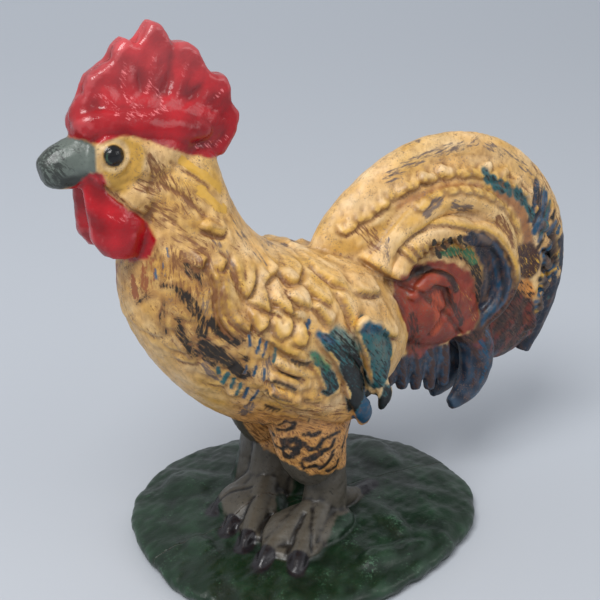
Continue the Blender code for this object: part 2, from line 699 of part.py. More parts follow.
def toe_forms(ankle, toes, group):
    """Toes as ridges from the ankle, each with a claw that points down at its end."""
    forms = []
    for toe, claw in toes:
        middle = [(start + end) / 2 for start, end in zip(ankle, toe)]
        spots = (ankle, middle, toe)
        path = [(*spot, half) for spot, half in zip(spots, TOE_HALF_WIDTHS)]
        forms.append(strip("toe", path, group, side=RIGHT))
        middle = [(start + end) / 2 for start, end in zip(toe, claw)]
        middle[2] += CLAW_ARCH
        spots = (toe, middle, claw)
        path = [(*spot, half) for spot, half in zip(spots, CLAW_HALF_WIDTHS)]
        forms.append(strip("claw", path, group, side=RIGHT))
    return forms


def leg_forms(group):
    forms = []
    for side, thigh, shank in ((LEFT, LEFT_THIGH, LEFT_SHANK), (RIGHT, RIGHT_THIGH, RIGHT_SHANK)):
        hip = (thigh[0][0], thigh[0][1], HIP_HEIGHT)
        forms.append(ball("thigh_root", hip, HIP_REACH, HIP_TURN, side))
        forms.append(strip("thigh", thigh, group, THIGH_FLATNESS, side))
        forms.append(strip("shank", shank, group, SHANK_FLATNESS, side))
    flat = Matrix.Translation((0.0, 0.0, (FOOT_BOTTOM + FOOT_TOP) / 2 * MM))
    for web, instep in ((LEFT_WEB, LEFT_INSTEP), (RIGHT_WEB, RIGHT_INSTEP)):
        forms.append(plate("web", web, (FOOT_TOP - FOOT_BOTTOM) / 2, WEB_EDGE, flat, group))
        forms.append(ball("instep", *instep))
    forms += toe_forms(LEFT_ANKLE, LEFT_TOES, group)
    forms += toe_forms(RIGHT_ANKLE, RIGHT_TOES, group)
    return forms


def join_meshes(name, meshes):
    form = bmesh.new()
    for mesh in meshes:
        form.from_mesh(mesh)
    joined = bpy.data.meshes.new(name)
    form.to_mesh(joined)
    form.free()
    return joined


def fuse(name, meshes, fineness, faces, group):
    """Blend overlapping forms into one closed skin of a set number of facets."""
    skin = add_object(name, join_meshes(name, meshes), group)
    blend = skin.modifiers.new("Blend", "REMESH")
    blend.mode = "VOXEL"
    blend.voxel_size = fineness * MM
    fillet = skin.modifiers.new("Fillet", "SMOOTH")
    fillet.factor = 0.5
    fillet.iterations = FILLET_PASSES
    fine = settle(skin)
    skin = add_object(name, fine, group)
    thin = skin.modifiers.new("Facet", "DECIMATE")
    thin.ratio = min(1.0, faces / (2.0 * len(fine.polygons)))
    thin.use_collapse_triangulate = True
    return settle(skin)


def core_forms(group):
    """The sand core: body, neck, tail, the passage through the stump, and the base."""
    forms = [spine_loft("body_core", TORSO[1:9], group, WALL)]
    forms.append(ball("tail_core", *TAIL_CORE))
    forms.append(ball("neck_core", *NECK_CORE))
    layers = [(-2.0 * BASE_SKIRT, WALL), (RIM_HEIGHT - WALL, WALL)]
    for height, step in (MOUND_SHOULDER, MOUND_SLOPE, MOUND_CROWN):
        layers.append((height - MOUND_WALL, step + MOUND_WALL))
    forms.append(base_stack("base_core", layers, group))
    forms.append(level_stack("stump_core", STUMP_HOLLOW, STUMP_Y, group))
    return forms


def rod(name, radius, start_y, stop_y, place):
    """A round bar across the model, between two distances from the parting plane."""
    form = bmesh.new()
    middle = Vector((place[0] - CENTRE_X, (start_y + stop_y) / 2 - CENTRE_Y, place[1])) * MM
    turn = Matrix.Translation(middle) @ Matrix.Rotation(math.radians(90.0), 4, "X")
    bmesh.ops.create_cone(form, cap_ends=True, segments=ROD_SIDES, radius1=radius * MM,
                          radius2=radius * MM, depth=abs(stop_y - start_y) * MM, matrix=turn)
    mesh = bpy.data.meshes.new(name)
    form.to_mesh(mesh)
    form.free()
    return mesh


def block(name, low, high):
    form = bmesh.new()
    low, high = Vector(low), Vector(high)
    place = Matrix.Translation((low + high) / 2 * MM)
    place @= Matrix.Diagonal((*((high - low) * MM), 1.0))
    bmesh.ops.create_cube(form, size=1.0, matrix=place)
    mesh = bpy.data.meshes.new(name)
    form.to_mesh(mesh)
    form.free()
    return mesh


def cutter(name, mesh, group):
    tool = add_object(name, mesh, group)
    tool.hide_render = True
    tool.display_type = "WIRE"
    return tool


def cut(target, tool, operation="DIFFERENCE"):
    change = target.modifiers.new(tool.name, "BOOLEAN")
    change.solver = "EXACT"
    change.operation = operation
    change.object = tool


def screw_mesh():
    """A round-head machine screw along Y, its head seat at SCREW_SEAT, with a driver slot."""
    radius = SCREW_DIAMETER / 2
    head = SCREW_HEAD_DIAMETER / 2
    crown = SCREW_SEAT + SCREW_HEAD_HEIGHT
    seat = SCREW_SEAT + SCREW_CLEARANCE
    outline = [(0.0, crown)]
    outline += [(head * share, crown - drop) for share, drop in CROWN_PROFILE]
    outline += [
        (head, seat),
        (radius, seat),
        (radius, SCREW_POINT - SCREW_REACH),
        (radius - SCREW_POINT, -SCREW_REACH),
        (0.0, -SCREW_REACH),
    ]
    form = bmesh.new()
    verts = [form.verts.new(Vector((x, y, 0.0)) * MM) for x, y in outline]
    edges = [form.edges.new(pair) for pair in zip(verts, verts[1:])]
    bmesh.ops.spin(form, geom=verts + edges, cent=(0.0, 0.0, 0.0), axis=(0.0, 1.0, 0.0),
                   angle=math.tau, steps=SCREW_SIDES, use_merge=True)
    bmesh.ops.remove_doubles(form, verts=form.verts, dist=0.00002)
    bmesh.ops.recalc_face_normals(form, faces=form.faces)
    mesh = bpy.data.meshes.new("screw")
    form.to_mesh(mesh)
    form.free()
    group = bpy.context.scene.collection
    blank = add_object("screw", mesh, group)
    slot = block("slot", (-2.0 * head, crown - SLOT_DEPTH, -SLOT_WIDTH / 2),
                 (2.0 * head, crown + SLOT_DEPTH, SLOT_WIDTH / 2))
    slot_tool = add_object("slot", slot, group)
    cut(blank, slot_tool)
    finished = settle(blank)
    bpy.data.objects.remove(slot_tool, do_unlink=True)
    return finished


def build():
    clear_scene()
    parts = make_collection(BUILD_NAME)
    tools = make_collection(BUILD_NAME + "_cutters")
    sandbox = make_collection(BUILD_NAME + "_forms")

    torso = spine_loft("torso", TORSO, sandbox)
    bird = [torso] + plumage_forms(torso, sandbox)
    for make in (base_forms, head_forms, comb_forms, wing_forms, tail_forms, leg_forms):
        bird += make(sandbox)
    pattern = fuse("pattern", bird, PATTERN_FINENESS, CASTING_FACES, sandbox)
    core = fuse("core", core_forms(sandbox), CORE_FINENESS, CORE_FACES, sandbox)

    shift = Matrix.Translation((-CENTRE_X * MM, -CENTRE_Y * MM, 0.0))
    pattern.transform(shift)
    core.transform(shift)
    cavity = cutter("cavity", core, tools)
    for name, place in SCREW_PLACES.items():
        boss = rod("boss", BOSS_RADIUS, -BOSS_REACH, BOSS_REACH, place)
        cut(cavity, cutter(name + "_boss", boss, tools))

    finish = make_material("painted_iron", (0.62, 0.45, 0.19), 0.45, 0.0)
    steel = make_material("screw_steel", (0.35, 0.34, 0.33), 0.4, 1.0)
    for half, side in (("left_casting", LEFT), ("right_casting", RIGHT)):
        casting = add_object(half, pattern.copy(), parts)
        near = PARTING_GAP / 2 if side == RIGHT else -CLEAR_REACH
        far = CLEAR_REACH if side == RIGHT else -PARTING_GAP / 2
        room = block("room", (-CLEAR_REACH, near - CENTRE_Y, 0.0),
                     (CLEAR_REACH, far - CENTRE_Y, CLEAR_REACH))
        cut(casting, cutter("room_" + half, room, tools), "INTERSECT")
        cut(casting, cavity)
        radius = SCREW_DIAMETER / 2 + SCREW_CLEARANCE
        for name, place in SCREW_PLACES.items():
            if side == LEFT:
                end = -SCREW_REACH - SCREW_CLEARANCE - HOLE_END_ROOM
                hole = rod("thread", radius, end, PARTING_GAP, place)
                cut(casting, cutter(name + "_thread", hole, tools))
            else:
                hole = rod("screw_hole", radius, -PARTING_GAP, CLEAR_REACH, place)
                cut(casting, cutter(name + "_hole", hole, tools))
                head = SCREW_HEAD_DIAMETER / 2 + WELL_CLEARANCE
                well = rod("well", head, SCREW_SEAT, CLEAR_REACH, place)
                cut(casting, cutter(name + "_well", well, tools))
        casting.data.materials.clear()
        casting.data.materials.append(finish)

    screw = screw_mesh()
    screw.materials.append(steel)
    for name, (x, z) in SCREW_PLACES.items():
        add_object(name, screw, parts).location = Vector((x - CENTRE_X, -CENTRE_Y, z)) * MM


build()
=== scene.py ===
import math

import bmesh
import bpy
import numpy as np
from mathutils import Matrix, Vector
from mathutils.bvhtree import BVHTree


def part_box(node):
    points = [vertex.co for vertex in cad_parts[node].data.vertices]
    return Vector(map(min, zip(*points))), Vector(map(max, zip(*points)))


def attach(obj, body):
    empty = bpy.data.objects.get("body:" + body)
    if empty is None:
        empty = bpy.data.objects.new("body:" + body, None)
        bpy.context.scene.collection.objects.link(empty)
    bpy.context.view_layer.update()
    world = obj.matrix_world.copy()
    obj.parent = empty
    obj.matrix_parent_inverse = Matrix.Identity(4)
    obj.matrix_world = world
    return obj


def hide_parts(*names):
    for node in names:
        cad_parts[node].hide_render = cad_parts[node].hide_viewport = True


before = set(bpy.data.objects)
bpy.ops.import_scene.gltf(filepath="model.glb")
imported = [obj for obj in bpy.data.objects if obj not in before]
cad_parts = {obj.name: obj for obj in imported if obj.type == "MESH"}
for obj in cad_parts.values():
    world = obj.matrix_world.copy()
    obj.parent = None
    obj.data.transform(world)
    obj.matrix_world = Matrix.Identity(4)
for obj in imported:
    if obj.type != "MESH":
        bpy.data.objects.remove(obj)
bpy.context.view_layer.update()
bpy.context.scene.view_settings.view_transform = "Standard"


# The drawing
# Both half castings come from one carved pattern, drawn from the bird's left side. A place on the
# drawing is (x, z) in millimetres on the upright plane where the halves meet; depth goes across.
MM = 0.001
NECK_SCREW = (-60.0, 166.0)
screw_low, screw_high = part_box("neck_screw")
MIDDLE_X = NECK_SCREW[0] - (screw_low[0] + screw_high[0]) / 2 / MM
MIDDLE_Y = -(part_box("left_casting")[1][1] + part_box("right_casting")[0][1]) / 2 / MM
LEFT = -1.0
RIGHT = 1.0

forms = []
ridges = []
edges = []


def from_bmesh(form, name="form"):
    mesh = bpy.data.meshes.new(name)
    form.to_mesh(mesh)
    form.free()
    return mesh


def finished(thing, merged=0.01):
    """Replace an object by the mesh that its bevel or modifiers give it, with near points merged."""
    bpy.context.view_layer.update()
    graph = bpy.context.evaluated_depsgraph_get()
    mesh = bpy.data.meshes.new_from_object(thing.evaluated_get(graph), depsgraph=graph)
    mesh.transform(thing.matrix_world)
    bpy.data.objects.remove(thing, do_unlink=True)
    form = bmesh.new()
    form.from_mesh(mesh)
    bmesh.ops.remove_doubles(form, verts=form.verts, dist=merged * MM)
    bmesh.ops.recalc_face_normals(form, faces=form.faces)
    form.to_mesh(mesh)
    form.free()
    return mesh


def placed(name, data):
    thing = bpy.data.objects.new(name, data)
    bpy.context.scene.collection.objects.link(thing)
    return thing


def strand(path, flatness=1.0, side=LEFT):
    """A tapered strip of clay along (x, depth, z, half width) points, pressed flat across."""
    curve = bpy.data.curves.new("strand", "CURVE")
    curve.dimensions = "3D"
    curve.bevel_depth = MM
    curve.bevel_resolution = 4
    curve.use_fill_caps = True
    curve.resolution_u = 6
    spline = curve.splines.new("NURBS")
    spline.points.add(len(path) - 1)
    for point, (x, depth, z, half_width) in zip(spline.points, path):
        point.co = (x * MM, side * depth * MM / flatness, z * MM, 1.0)
        point.radius = half_width
    spline.order_u = min(4, len(path))
    spline.use_endpoint_u = True
    thing = placed("strand", curve)
    thing.scale = (1.0, flatness, 1.0)
    forms.append(finished(thing))


def ball(centre, reach, turn=0.0, side=RIGHT):
    """An ellipsoid of clay; turn lifts its long axis from +X towards +Z, in degrees."""
    form = bmesh.new()
    place = Matrix.Translation(Vector((centre[0], side * centre[1], centre[2])) * MM)
    place @= Matrix.Rotation(-math.radians(turn), 4, "Y")
    place @= Matrix.Diagonal((*[size * MM for size in reach], 1.0))
    bmesh.ops.create_uvsphere(form, u_segments=40, v_segments=28, radius=1.0, matrix=place)
    forms.append(from_bmesh(form))


def plate(outline, half_thickness, edge, place):
    """A flat outline of clay of the given half thickness with rounded edges, laid by a matrix."""
    curve = bpy.data.curves.new("plate", "CURVE")
    curve.dimensions = "2D"
    curve.fill_mode = "BOTH"
    curve.extrude = (half_thickness - edge) * MM
    curve.bevel_depth = edge * MM
    curve.bevel_resolution = 3
    curve.offset = -edge * MM
    spline = curve.splines.new("POLY")
    spline.points.add(len(outline) - 1)
    for point, (across, up) in zip(spline.points, outline):
        point.co = (across * MM, up * MM, 0.0, 1.0)
    spline.use_cyclic_u = True
    thing = placed("plate", curve)
    thing.matrix_world = place
    forms.append(finished(thing))


def skin_over(loops_of, levels=1):
    """A closed form through rings; loops_of(form) makes them in order."""
    form = bmesh.new()
    loops = loops_of(form)
    for lower, upper in zip(loops, loops[1:]):
        bmesh.ops.bridge_loops(form, edges=lower + upper)
    for end in (loops[0], loops[-1]):
        bmesh.ops.contextual_create(form, geom=end)
    bmesh.ops.recalc_face_normals(form, faces=form.faces)
    thing = placed("skin", from_bmesh(form))
    surface = thing.modifiers.new("Soften", "SUBSURF")
    surface.levels = levels
    surface.render_levels = levels
    return finished(thing)


def ring(form, sides, place):
    made = bmesh.ops.create_circle(form, segments=sides, radius=1.0)
    for vert in made["verts"]:
        vert.co = place(vert.co.copy()) * MM
    return list({edge for vert in made["verts"] for edge in vert.link_edges})


def ridge(points, half_widths, rise):
    """A smooth raised line, or a groove where rise is below zero."""
    ridges.append((points, half_widths, rise))


def ledge(points, rise, reach):
    """A feather's lifted edge; the feather lies on the left of the line, seen from the left side."""
    edges.append((points, rise, reach))


# The mound
# The base is a rough low mound with an upright rim, cast in halves with the bird. It is hollow
# underneath and painted dark green, and a rocky post rises from it between the legs.
BASE_CENTRE = (3.5, 2.5)
BASE_REACH = (83.5, 82.0, 77.0, 74.0, 75.5, 80.0, 84.5, 87.0, 88.0,
              86.5, 89.5, 90.0, 84.0, 78.5, 75.0, 75.5, 82.0, 85.5)
RIM_HEIGHT = 8.0
BASE_SKIRT = 6.0
MOUND_LEVELS = ((10.7, 12.0), (12.2, 34.0), (13.8, 60.0))


def base_ring(form, height, shrink):
    count = len(BASE_REACH)

    def place(spot):
        turn = math.atan2(spot.y, spot.x) / math.tau * count
        before = int(math.floor(turn + 1e-4))
        share = turn - before
        reach = BASE_REACH[before % count] * (1 - share) + BASE_REACH[(before + 1) % count] * share
        spread = spot.normalized() * (reach - shrink)
        return Vector((BASE_CENTRE[0] + spread.x, BASE_CENTRE[1] + spread.y, height))

    return ring(form, 2 * count, place)


def base_skin(layers):
    return skin_over(lambda form: [base_ring(form, *layer) for layer in layers])


forms.append(base_skin(((-BASE_SKIRT, 0.0), (RIM_HEIGHT - 1.5, 0.0), (RIM_HEIGHT, 1.5)) + MOUND_LEVELS))

MOUND_SWELLS = (
    ((26.0, -30.0, 7.0), (9.0, 24.0, 7.5)),
    ((10.0, -56.0, 6.0), (28.0, 9.0, 7.5)),
    ((56.0, 20.0, 7.0), (14.0, 24.0, 7.5)),
    ((-40.0, 44.0, 6.5), (20.0, 17.0, 8.0)),
    ((-60.0, -8.0, 6.0), (9.0, 22.0, 7.0)),
)
STUMP_Y = 27.0
STUMP = ((7.0, 3.0, 31.0, 28.0), (17.0, 2.0, 24.0, 22.0), (38.0, 3.0, 21.0, 18.0),
         (70.0, 1.0, 20.0, 15.0))
STUMP_HOLLOW = ((5.0, 3.0, 16.0, 13.0), (40.0, 3.0, 15.0, 12.0), (76.0, 1.0, 14.0, 10.0))


def level_skin(layers, centre_y):
    """A closed form through level ovals: height, middle x, half length, half width."""
    def oval(form, height, centre_x, half_length, half_width):
        return ring(form, 24, lambda s: Vector((centre_x + half_length * s.x,
                                                centre_y + half_width * s.y, height)))

    return skin_over(lambda form: [oval(form, *layer) for layer in layers])


forms.append(level_skin(STUMP, STUMP_Y))
for swell in MOUND_SWELLS:
    ball(*swell)


# Torso and neck
# The body is an egg that sweeps up into the neck, cut here by lines from the back to the breast:
# upper place, lower place, half width.
TORSO = (
    ((-47.0, 205.0), (-96.0, 196.0), 12.0),
    ((-45.5, 195.0), (-84.0, 184.0), 17.0),
    ((-41.0, 179.0), (-85.5, 170.0), 22.0),
    ((-33.0, 162.0), (-89.0, 152.0), 29.0),
    ((-17.0, 148.5), (-89.5, 132.0), 37.0),
    ((5.0, 143.5), (-79.5, 109.5), 43.0),
    ((24.0, 139.0), (-62.5, 86.0), 44.5),
    ((38.0, 128.0), (-39.0, 67.0), 40.0),
    ((48.0, 113.0), (-6.0, 60.0), 33.0),
    ((56.0, 100.0), (24.0, 66.0), 22.0),
)
IRON_WALL = 4.5


def body_skin(sections, inset=0.0):
    def section_ring(form, upper, lower, half_width):
        top = Vector((upper[0], 0.0, upper[1]))
        foot = Vector((lower[0], 0.0, lower[1]))
        reach = (top - foot) / 2
        reach = reach.normalized() * (reach.length - inset)
        across = Vector((0.0, half_width - inset, 0.0))
        return ring(form, 28, lambda s: (top + foot) / 2 + reach * s.x + across * s.y)

    return skin_over(lambda form: [section_ring(form, *section) for section in sections], 2)


forms.append(body_skin(TORSO))


# Head
# Skull, stubby beak, a raised ring round each painted eye, the swollen cheek, and the two wattles
# that hang together under the beak.
HEAD = ((-79.0, 0.0, 201.0), (26.0, 15.5, 17.0), -8.0)
FACE = ((-92.5, 9.5, 201.0), (10.5, 5.0, 12.0), -15.0)
EYE_RADIUS = 3.8
EYE = ((-94.5, 13.6, 204.0), (EYE_RADIUS, 2.6, EYE_RADIUS), 0.0)
CHEEK = ((-84.0, 9.0, 185.0), (9.0, 6.5, 7.5), -30.0)
BEAK = ((-91.0, 0.0, 200.5, 11.5), (-100.0, 0.0, 200.5, 11.2), (-109.0, 0.0, 199.0, 10.3),
        (-116.5, 0.0, 197.8, 8.4), (-119.5, 0.0, 197.2, 4.6))
WATTLE = ((-100.0, 4.5, 196.0, 5.0), (-98.0, 6.0, 187.0, 7.5), (-92.0, 7.5, 176.0, 13.0),
          (-90.5, 7.5, 168.0, 13.5), (-91.5, 7.0, 161.0, 8.0))

ball(*HEAD)
strand(BEAK, 0.85)
for side in (LEFT, RIGHT):
    for mass in (FACE, EYE, CHEEK):
        ball(*mass, side)
    strand(WATTLE, 0.62, side)
ridge([(-101, 206.5), (-96, 210.5), (-88, 210), (-83, 206), (-83, 198), (-88, 191), (-94, 189.5)],
      [1.4, 1.8, 2.0, 2.0, 2.0, 1.8, 1.2], 0.8)
ridge([(-99, 208), (-95, 209), (-90, 207), (-87, 202), (-89, 196), (-95, 194.5), (-98, 198)],
      [1.0, 1.2, 1.6, 1.8, 1.8, 1.2, 1.0], -0.8)
ridge([(-101, 197), (-97, 190), (-92, 185), (-85, 178.5), (-80, 175)], [1.2, 1.4, 1.6, 1.6, 1.2], -1.3)
ridge([(-82, 204), (-78, 197), (-80, 188), (-86, 181)], [1.6, 2.2, 2.2, 1.4], -1.0)
ridge([(-71, 198), (-62, 192), (-56, 186)], [1.5, 2.0, 1.5], -1.1)
ridge([(-61, 171), (-52, 168)], [1.8, 1.5], -1.2)
ridge([(-76, 190), (-68, 185), (-60, 176), (-54, 171)], [1.8, 2.2, 2.2, 1.5], -1.1)
ridge([(-80, 182), (-72, 174), (-66, 166)], [1.6, 2.4, 1.6], -0.9)
ridge([(-119, 199), (-110, 198.5), (-103, 197)], [0.7, 0.9, 0.7], -0.5)


# Comb
# A thick single comb cast over the skull: a plate with six blunt points, ribs that run down
# from them, and a swollen band at its root over the skull and the eyes.
COMB_OUTLINE = (
    (-104.0, 205.0), (-106.5, 212.0), (-105.0, 219.5), (-101.5, 226.0), (-98.5, 233.0),
    (-93.0, 236.0), (-89.5, 238.0), (-86.5, 243.0), (-82.5, 246.0), (-78.0, 243.5),
    (-75.0, 247.0), (-71.5, 251.5), (-67.5, 250.0), (-62.0, 242.0), (-56.0, 242.0),
    (-51.5, 238.5), (-48.5, 231.5), (-45.0, 228.0), (-40.0, 227.5), (-37.5, 222.0),
    (-38.0, 216.5), (-34.0, 211.0), (-35.5, 203.5), (-42.0, 194.0), (-70.0, 197.0),
    (-97.0, 202.0),
)
COMB_RIBS = (
    ((-95.5, 232.0), (-88.0, 219.0), 5.5),
    ((-82.5, 242.0), (-83.0, 222.0), 5.5),
    ((-71.0, 246.5), (-74.0, 222.0), 5.5),
    ((-56.5, 238.0), (-65.0, 219.0), 5.5),
    ((-42.0, 225.0), (-58.0, 215.0), 5.0),
    ((-37.5, 210.0), (-52.0, 209.0), 4.5),
)
COMB_VALLEYS = (
    ((-102, 228), (-96, 221)),
    ((-89, 239), (-87, 228)),
    ((-78, 245), (-79, 230)),
    ((-63, 243), (-66, 229), (-68, 223)),
    ((-47, 230), (-55, 222), (-62, 218)),
    ((-37, 217), (-48, 214)),
)
COMB_SWELL = ((-72.0, 0.0, 212.0), (35.0, 10.5, 15.0), -12.0)
COMB_BROW = ((-77.0, 6.5, 211.5), (29.0, 7.5, 8.0), -10.0)
COMB_FRONT = ((-99.5, 3.5, 214.5), (7.0, 6.5, 6.5), 0.0)

plate(COMB_OUTLINE, 5.5, 2.5, Matrix.Rotation(math.radians(90.0), 4, "X"))
ball(*COMB_SWELL)
for side in (LEFT, RIGHT):
    ball(*COMB_BROW, side)
    ball(*COMB_FRONT, side)
    for (tip_x, tip_z), (root_x, root_z), half in COMB_RIBS:
        strand([(tip_x, 0.0, tip_z, half * 0.6),
                ((tip_x * 2 + root_x) / 3, 2.0, (tip_z * 2 + root_z) / 3, half),
                (root_x, 2.0, root_z, half)], 1.0, side)
for line in COMB_VALLEYS:
    ridge(line, [3.0] * (len(line) - 1) + [1.5], -1.0)


# Neck and back feathers
# Long pointed hackles hang down the neck to the shoulder and pointed scales cover the back. Each one
# is a low swelling of the pattern with the sharp lifted edge that the carver cut round its tip.
FEATHERS = (
    (((-64, 163), (-64, 157), (-61, 150)), 3.0),
    (((-53, 165), (-54.5, 155), (-55, 143), (-50, 128)), 5.0),
    (((-61.5, 150), (-61.5, 139), (-59, 131), (-53, 125)), 2.4),
    (((-46, 163), (-44.5, 156), (-46, 150), (-50, 143.5)), 4.2),
    (((-42, 156), (-42, 149), (-42, 143), (-41, 136.5)), 4.8),
    (((-33, 150), (-36, 146), (-35, 140), (-31, 133.5)), 4.8),
    (((-27, 146), (-25.5, 141), (-20, 133.5)), 4.6),
    (((-14, 148), (-14, 142), (-12, 138), (-8, 130.5)), 3.8),
    (((-8, 147), (-3, 142), (1, 138), (6, 132)), 3.8),
    (((-49, 143), (-46.5, 137), (-45, 129)), 5.6),
    (((-38, 138), (-35, 133), (-36, 125)), 5.6),
    (((-28, 137), (-26, 131), (-25, 120.5)), 5.4),
    (((-17, 136), (-13, 130), (-12, 121)), 5.0),
    (((-5, 137), (-2, 129), (-1.5, 116)), 4.4),
    (((4, 142), (12, 136), (22, 128.5), (37, 116.5)), 4.6),
    (((14, 140), (24, 134.5), (37, 123)), 4.0),
    (((5, 133), (9, 126), (10, 116)), 4.4),
    (((18, 127), (24, 117), (28, 103)), 5.4),
    (((-78, 170), (-75, 160), (-77, 148)), 4.6),
    (((-70, 170), (-69, 158), (-70, 145)), 4.4),
)
NECK_FOLDS = (
    (((-74, 194), (-66, 190), (-58, 182), (-53, 176)), 4.0),
    (((-75, 186), (-67, 179), (-60, 171)), 4.0),
    (((-57, 176), (-52, 170), (-50, 163)), 3.6),
)
torso_form = bmesh.new()
torso_form.from_mesh(body_skin(TORSO))
torso = BVHTree.FromBMesh(torso_form)
torso_form.free()


def skin_depth(x, z):
    """How far the torso's side lies from the middle plane at a place of the drawing."""
    spot = torso.ray_cast(Vector((x * MM, -1.0, z * MM)), Vector((0.0, 1.0, 0.0)))[0]
    return 0.0 if spot is None else -spot.y / MM


def leaf(line, half_width, side):
    """A feather of clay on the torso, sunk at its root and lifted at its tip."""
    path = []
    for index, (x, z) in enumerate(line):
        share = index / (len(line) - 1)
        width = 0.55 + 0.45 * math.sin(math.pi * min(1.0, share * 1.3)) - 0.3 * share
        path.append((x, skin_depth(x, z) + 0.2 * share - 2.2 * (1.0 - share), z, half_width * width))
    strand(path, 0.5, side)


for line, half in FEATHERS + NECK_FOLDS:
    for side in (LEFT, RIGHT):
        leaf(line, half, side)

# Each edge runs round a feather's tip with the feather on its left, seen from the bird's left side.
HACKLE_EDGES = (
    ((-63.4, 172.8), (-61.7, 171.5), (-58.5, 169.6), (-55, 168.1), (-51.4, 168)),
    ((-51.1, 161.4), (-52.2, 155.8), (-52, 149.8), (-50.9, 145.4), (-50, 143.9), (-47.6, 146),
     (-44.8, 149), (-42.7, 152.6), (-41.5, 155.4)),
    ((-57.3, 158.1), (-58.3, 152.2), (-59.5, 144.7), (-59.2, 139.6), (-57.1, 135.9), (-54.4, 132.8),
     (-51.3, 130.5), (-50.2, 134.1), (-50.6, 139.3)),
    ((-63.7, 159.1), (-62.5, 155.7), (-61.4, 151.8), (-61.1, 147.2), (-61.9, 142.2), (-61.7, 137.8),
     (-59.8, 133), (-57.1, 129), (-54.2, 126.6)),
    ((-66.1, 156.3), (-64.8, 159.2), (-63.1, 161.2)),
    ((-59.2, 154.2), (-56.3, 157.2), (-54.7, 158.5)),
)
SCALE_EDGES = (
    ((-29.6, 148.9), (-28.7, 146.5), (-27.7, 144.4), (-26, 143.8), (-21.7, 143.4), (-17.7, 144.7),
     (-14, 146.6)),
    ((-49.8, 143.1), (-47.4, 141), (-44.3, 138.8), (-41.2, 137), (-41.2, 140.9), (-41.1, 144.5),
     (-40.8, 147)),
    ((-39.8, 141.9), (-37.5, 139.5), (-34.7, 136.6), (-31.2, 133.9), (-31.6, 137.3), (-30.8, 140.7)),
    ((-30.3, 141.3), (-29.1, 138.8), (-26.8, 136.9), (-23, 134.8), (-20.1, 134)),
    ((-40.8, 147), (-36.2, 148.3), (-30.3, 149.2)),
    ((-20.9, 142.9), (-19.1, 140.9), (-17.3, 138.3), (-15.4, 136.1), (-11.9, 133.3), (-8.5, 131.6)),
    ((-13.1, 146.5), (-10, 144.3), (-9.2, 142.6), (-7.1, 140.5), (-4.5, 138.6), (-0.2, 136.1), (3.6, 133.9)),
    ((-4.6, 136.3), (-3.4, 132.5), (-2.3, 128.5), (-1.5, 123.9), (-0.9, 118.2)),
    ((4.7, 134.1), (9.2, 131.4), (15.6, 128.7), (24.2, 126.7)),
    ((-49.5, 140.7), (-49.5, 135.6), (-48.8, 131.8), (-47, 130), (-44.5, 131.4), (-42.2, 133.9),
     (-41.4, 137.1)),
    ((-41, 136.5), (-40.8, 131.1), (-40, 127.3), (-37.8, 125.4), (-34.6, 126.6), (-32.4, 128.7),
     (-32.2, 131.9), (-34.2, 135.2)),
    ((-34.3, 124.8), (-30.8, 121.1), (-27.1, 120), (-25.7, 123.4), (-26.1, 127.6), (-27.7, 130.6)),
    ((-20, 134.8), (-17.2, 131.2), (-15.2, 127.6), (-13.6, 124.1)),
    ((-45.7, 127.4), (-42.3, 125.1), (-39, 121.4), (-35, 118.4), (-31.2, 117), (-27.4, 115.9)),
    ((4, 122), (10, 119), (15, 114), (24, 108), (33, 104)),
    ((20, 141), (27, 135), (35, 129), (42, 126)),
)
for line in HACKLE_EDGES:
    ledge(line, 2.8, 4.6)
for line in SCALE_EDGES:
    ledge(line, 2.6, 6.5)


# Breast
# Small soft scales in rows, lower and rounder than the hackles, run down the breast to the belly.
# Each is a low swelling with a shallow edge, cast in one with the body.
def scallop(x, z, half, length, rise):
    """A small scale whose tip points down and back."""
    along = (0.6, -0.8)
    front = (-0.8, -0.6)
    spots = ((1.0, -0.4), (0.9, 0.35), (0.0, 1.0), (-0.9, 0.35), (-1.0, -0.4))
    ledge([(x + front[0] * half * a + along[0] * length * b, z + front[1] * half * a + along[1] * length * b)
           for a, b in spots], rise, half * 1.4)


for row in range(5):
    for column in range(4):
        x = -76.0 + 9.5 * row + 9.0 * column
        z = 130.0 - 11.5 * row + 5.0 * column
        line = ((x, z), (x + 2.5, z - 5.5), (x + 5.0, z - 11.0))
        leaf(line, 4.8, LEFT)
        leaf(line, 4.8, RIGHT)
for row in range(5):
    for column in range(10):
        scallop(-84.0 + 5.6 * column + 5.0 * row + 2.0 * (column % 2),
                131.0 - 5.9 * column + 4.6 * row, 3.2, 4.6, 0.45 + 0.1 * ((row + column) % 3))


# Wing
# The folded wing lies on the side of the body, cast in one with it: raised bars over the shoulder,
# then broad primary feathers that run back and down to two tips.
WING = ((-44.0, 36.0, 116.0, 10.0), (-30.0, 40.0, 108.0, 17.0), (-17.0, 40.0, 95.0, 17.0),
        (4.0, 34.0, 79.0, 8.5))
PRIMARIES = (
    ((-28.0, 108.0), (-17.0, 97.0), (-4.0, 83.0), 6.0),
    ((-24.0, 116.0), (-15.0, 105.0), (-10.0, 92.0), 5.0),
    ((-18.0, 121.0), (-5.0, 104.0), (4.0, 83.0), 6.5),
    ((2.0, 123.0), (15.0, 109.0), (14.0, 85.0), 7.0),
    ((-2.0, 92.0), (5.0, 81.0), (8.0, 71.0), 5.0),
    ((12.0, 98.0), (16.5, 87.0), (18.0, 75.0), 3.8),
)
WING_BARS = (
    ((-33.0, 117.0), (-29.0, 115.0), (-23.5, 111.5)),
    ((-40.0, 115.5), (-34.0, 111.0), (-26.0, 106.0)),
    ((-43.0, 109.0), (-36.5, 104.5), (-28.0, 100.0)),
    ((-43.0, 102.0), (-37.0, 98.0), (-29.0, 94.5)),
)
